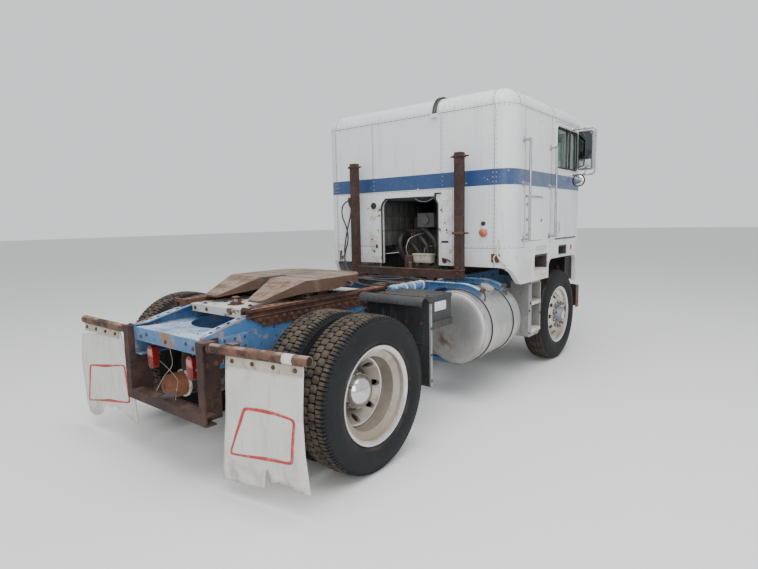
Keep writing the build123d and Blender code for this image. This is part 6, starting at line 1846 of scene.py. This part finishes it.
def tail_details():
    """Bolts, bent strip and wires of the hanging frame."""
    bolts = Form("tail_bolts", "chassis", "old_bolt")
    for _ in bolts.sides():
        bolts.bolts(0.440, (4.215, 4.285), (0.79, 0.88), X, 0.012, 0.012)
    bolts.bolts((-0.33, 0.0, 0.33), 4.300, 0.885, Y, 0.009, 0.008)
    bolts.bolt((0.480, 4.300, 0.950), Z, 0.012, 0.012)
    strip = Form("bent_strip", "chassis", "dark_iron", "cup_orange")
    rows = [at(-0.112, 4.300, 0.534), at(-0.02, 4.318, 0.512), at(0.07, 4.328, 0.470),
            at(0.186, 4.340, 0.424)]
    for first, second in zip(rows, rows[1:]):
        strip.prism([first, second, second + Z * 0.034, first + Z * 0.034], Y * 0.004)
    strip.slot = 1
    strip.box((0.150, 0.190), (4.334, 4.3445), (0.420, 0.452), 0.003)
    wires = Form("tail_wires", "chassis", "tan_paint")
    for route in (
            ((0.250, 4.236, 0.72), (0.20, 4.20, 0.66), (0.10, 4.19, 0.60), (0.02, 4.22, 0.58),
             (-0.05, 4.28, 0.53), (-0.08, 4.30, 0.50)),
            ((0.13, 4.25, 0.945), (0.12, 4.22, 0.86), (0.16, 4.18, 0.76), (0.12, 4.20, 0.68),
             (0.17, 4.24, 0.60), (0.21, 4.28, 0.50)),
            ((-0.16, 4.25, 0.945), (-0.14, 4.21, 0.84), (-0.20, 4.18, 0.70), (-0.250, 4.236, 0.70))):
        wires.tube(route, 0.002)


def pipe_details():
    """Clamps, tape and open ends of the pipe that carries the mud flaps, with black discs of painted shade
    inside the open ends.
    """
    iron = Form("tail_clamps", "chassis", "rusty_steel")
    iron.box((-0.500, 0.500), (4.262, 4.268), (0.490, 0.497), 0.002)
    iron.box((0.436, 0.516), (4.262, 4.344), (0.934, 0.952), 0.003)
    iron.box((-0.516, -0.436), (4.255, 4.344), (0.934, 0.952), 0.003)
    start = at(-0.445, 4.3035, PIPE_Z)
    for along in (0.020, 0.060):
        iron.hoop(start + SWING * along, SWING, (0, 0.012), (0.030, 0.036), 32)
    end_shade = Form("pipe_end_shade", "chassis", "hole_painted_shade")
    for end, out, lift in ((at(1.245, 4.302, PIPE_Z), X, -0.0006),
                           (at(-1.245, 4.169, PIPE_Z), SWING, 0.0008)):
        iron.hoop(end - out * 0.022, out, (0, 0.0215), (0.0300, 0.0308), 32)
        end_shade.disc(end, out, 0.0245, (-0.004, lift), 32)
    tape = Form("pipe_tape", "chassis", "tape_silver")
    tape.turned(start + SWING * 0.640, SWING,
                [(0, 0.0302), (0.0005, 0.0312), (0.070, 0.0310), (0.0705, 0.0302)], 32)


def axle_details():
    """Rear cover of the drive axle with its bolts, and the springs' clamp rods and plates."""
    axle = Form("axle_details", "chassis", "dark_steel")
    axle.turned((0, DRIVE_LINE + 0.128, AXLE_HEIGHT), Y, [(0, 0.165), (0.004, 0.180), (0.016, 0.180),
                                                          (0.030, 0.150), (0.048, 0.080), (0.052, 0)], 40)
    for c, s in spokes(12):
        axle.bolt((0.166 * c, DRIVE_LINE + 0.144, AXLE_HEIGHT + 0.166 * s), Y, 0.009, 0.009)
    for _ in axle.sides():
        for y in span(DRIVE_LINE, 0.062):
            for x in (0.47, 0.53):
                axle.tube([(x, y, 0.44), (x, y, 0.665)], 0.011, 10)
        axle.box((0.445, 0.555), span(DRIVE_LINE, 0.080), (0.430, 0.448), 0.004)


# Wheels

RIM_LIP = [(0.1040, 0.3120), (0.1050, 0.3260), (0.1120, 0.3325), (0.1172, 0.3300), (0.1180, 0.3240),
           (0.1150, 0.3170), (0.1080, 0.3060)]


def front_hub(side, name):
    """Nuts, hub with its bolts, cap and rim lip of a front wheel."""
    wheel = "front_wheel_" + name
    centre = middle("front_tyre_" + name)
    centre.x = side * 1.0035
    out = X * side
    nuts = Form("front_nuts_" + name, wheel, "old_bolt")
    for c, s in spokes(10, 0.5):
        spot = centre + Vector((0, c, s)) * 0.143
        nuts.turned(spot + out * 0.1055, out, [(0, 0.022), (0.006, 0.022), (0.008, 0.0175), (0.029, 0.0165),
                                               (0.030, 0)], 6, False)
        nuts.turned(spot + out * 0.128, out, [(0, 0.010), (0.016, 0.010), (0.018, 0)], 10)
    grey = Form("front_hub_" + name, wheel, "hub_grey")
    grey.turned(centre, out, [(0.1055, 0.112), (0.1165, 0.110), (0.1200, 0.094), (0.1380, 0.084),
                              (0.1600, 0.076), (0.1660, 0.070), (0.1665, 0.052)], 48)
    for c, s in spokes(6, 0.25):
        grey.bolt(centre + out * 0.1660 + Vector((0, c, s)) * 0.061, out, 0.0055, 0.004)
    cap = Form("front_cap_" + name, wheel, "chrome")
    cap.turned(centre, out,
               [(0.1600, 0.052), (0.1670, 0.052), (0.1690, 0.046), (0.1695, 0.020), (0.1680, 0)], 40)
    lip = Form("front_lip_" + name, wheel, "chrome")
    lip.turned(centre, out, RIM_LIP, 96)


def rear_hub(side, name):
    """Polished dome, rim lip, bright disc edge, painted shadow in the groove beyond it, bolts and valve of
    the drive wheels.
    """
    wheels = "rear_wheels_" + name
    out = X * side
    hub = Vector((side * 0.902, REAR_AXLE, AXLE_Z))
    dome = Form("rear_dome_" + name, wheels, "chrome")
    turns = [math.radians(7.5 * k) for k in range(12)]
    dome.turned(hub, out, [(0.0645, 0.1300), (0.0700, 0.1310), (0.0740, 0.1265)]
                + [(0.0900 + 0.0968 * math.sin(turn), 0.1260 * math.cos(turn)) for turn in turns]
                + [(0.1868, 0)], 72)
    outer = Vector((side * 1.0645, REAR_AXLE, AXLE_Z))
    lip = Form("rear_lip_" + name, wheels, "chrome")
    lip.turned(outer, out, RIM_LIP, 96)
    lip.turned(outer, out, [(-0.0470, 0.2280), (-0.0430, 0.2345), (-0.0445, 0.2400), (-0.0500, 0.2440)], 96)
    dark = Form("rear_wheel_iron_and_groove_shadow_" + name, wheels, "dark_iron")
    # Thin dark ring in the groove between the disc's rolled edge and the rim barrel: painted shadow.
    dark.turned(outer, out, [(-0.0505, 0.2490), (-0.0500, 0.2505), (-0.0440, 0.2510), (-0.0400, 0.2505)], 96)
    dark.turned(hub, out, [(0.0500, 0.1290), (0.0500, 0.1500), (0.0650, 0.1470), (0.0670, 0.1340),
                           (0.0650, 0.1290)], 72, closed=True)
    for c, s in spokes(10, 0.5):
        dark.bolt(hub + out * 0.0635 + Vector((0, c, s)) * 0.1405, out, 0.0065, 0.006)
    stem = outer + out * 0.060 + Vector((0, 0.252, 0.12))
    dark.tube([stem + out * reach for reach in (-0.02, 0.03, 0.048)], 0.005)


# Front

HEADLAMPS = (0.600, 0.780)


def windshield_rubber():
    """Rubber round the two panes, and the wipers."""
    rubber, arms = Form("windshield_rubber", "cab", "gasket"), Form("wipers", "cab", "dark_iron")
    y = CAB_NOSE
    for _ in rubber.sides():
        for x, z in (((0.024, 0.880), (2.050, 2.070)), ((0.024, 0.880), (2.610, 2.632)),
                     ((0.024, 0.038), (2.05, 2.63)), ((0.866, 0.886), (2.05, 2.63))):
            rubber.box(x, (y - 0.008, y + 0.030), z, 0.004)
    for _ in arms.sides():
        arms.turned((0.300, y - 0.001, 2.020), -Y,
                    [(0, 0.020), (0.018, 0.018), (0.026, 0.010), (0.026, 0)], 16)
        arms.tube([(0.300, y - 0.024, 2.020), (0.330, y - 0.030, 2.10), (0.420, y - 0.020, 2.30)], 0.006)
        arms.box((0.418, 0.428), (y - 0.022, y - 0.008), (2.12, 2.50), 0.002)


def grille_details():
    """Bright surround of the grille, slats behind its bars, and the radiator's core."""
    y = CAB_NOSE
    bright = Form("nose_bright", "cab", "chrome")
    for x, z in (((-0.475, 0.475), (1.812, 1.826)), ((-0.475, 0.475), (1.174, 1.188)),
                 ((-0.476, -0.462), (1.18, 1.82)), ((0.462, 0.476), (1.18, 1.82))):
        bright.box(x, (y - 0.024, y - 0.014), z, 0.003)
    lens = Form("headlamp_lenses", "cab", "lens")
    for x in HEADLAMPS + tuple(-x for x in HEADLAMPS):
        bright.turned((x, y, 1.120), -Y, [(0.0135, 0.0865), (0.0200, 0.0850), (0.0205, 0.0760),
                                          (0.0140, 0.0720), (0.0095, 0.0715)], 48)
        lens.turned((x, y, 1.120), -Y, [(0.0092, 0.0735), (0.0120, 0.066), (0.0165, 0.045),
                                        (0.0180, 0.020), (0.0182, 0)], 40)
    slats = Form("grille_slats", "cab", "grey_aluminium")
    for z in steps(1.222, 0.0252, 23):
        slats.box((-0.445, 0.445), (y - 0.012, y - 0.004), (z, z + 0.005), 0.001)
    core = Form("radiator_core", "chassis", "dark_steel")
    for x in steps(-0.372, 0.0172, 44):
        core.box((x, x + 0.009), (-0.527, -0.519), (1.085, 1.575), 0.001)
    for z in ((1.580, 1.608), (1.055, 1.080)):
        core.box((-0.385, 0.385), (-0.530, -0.518), z, 0.003)


def nose_details():
    """Rivets, lap lines and hanging stubs of the nose, bumper bolts and feet of the roof lamps."""
    heads, laps = Form("nose_rivets", "cab", "rivet"), Form("nose_laps", "cab", "seam")
    for side in (-1, 1):
        for z in (1.06, 1.90, 2.02):
            level_rivets(heads, z, PLAN_LENGTH - 0.86, PLAN_LENGTH - 0.02, side, 0.06)
        (x, y), normal = wall(side_distance(-0.330), side)
        rivet_row(heads, (x, y + 0.004, 1.03), (x, y + 0.004, 1.40), normal, 0.06)
        level_seam(laps, 1.985, side_distance(-0.350), PLAN_LENGTH, side)
        laps.tube([(side * 0.955, -0.592, 1.00), (side * 0.955, -0.592, 2.70)], 0.0018, 6)
    bolts = Form("bumper_bolts", "chassis", "old_bolt")
    bolts.bolts((-0.415, -0.345, 0.345, 0.415), -0.740, 0.8000, Z, 0.012, 0.011)
    stubs = Form("nose_stubs", "cab", "old_bolt")
    for _ in stubs.sides():
        stubs.tube([(0.88, -0.560, 1.060), (0.93, -0.600, 0.960), (1.00, -0.650, 0.905),
                    (1.07, -0.680, 0.890)], 0.020, 12)
    feet = Form("roof_lamp_feet", "cab", "chrome")
    for x in (-0.760, -0.180, 0, 0.180, 0.760):
        feet.box(span(x, 0.050), (-0.488, -0.392), (2.8835, 2.8895), 0.002)


def dash_details():
    """Rims of the dials and the panels of the dashboard."""
    dark = Form("dash_trim", "cab", "gasket")
    for x in steps(0.560, 0.085, 6):
        dark.turned((x, -0.3705, 1.955), Y, [(0, 0.036), (0.010, 0.036), (0.012, 0.031), (0.004, 0.030),
                                             (0.004, 0)], 24)
    dark.box((-0.75, -0.30), (-0.372, -0.364), (1.82, 1.99), 0.004)
    dark.box((-0.20, 0.42), (-0.372, -0.364), (1.80, 2.00), 0.004)
    dark.box((0.45, 0.52), (-0.372, -0.355), (1.80, 1.86), 0.004)


paint_nodes()
for detail in (rear_tyre, front_tyre, flap, seat, side_window, door_trim, hatch_trim, side_fittings,
               ladder_trim, mirror_trim, tanks, fender_trim, front_hub, rear_hub):
    both(detail)
for detail in (soft_goods, cab_joints, back_fittings, sound_mats, engine_bay, battery_details, slide_details,
               fifth_wheel_details, air_lines, deck_cables, frame_bolts, post_details, chambers,
               lamp_details, tail_details, pipe_details, axle_details, windshield_rubber, grille_details,
               nose_details, dash_details):
    detail()
for form in list(Form.waiting):
    form.done()
add_floor()
add_light()
add_camera()
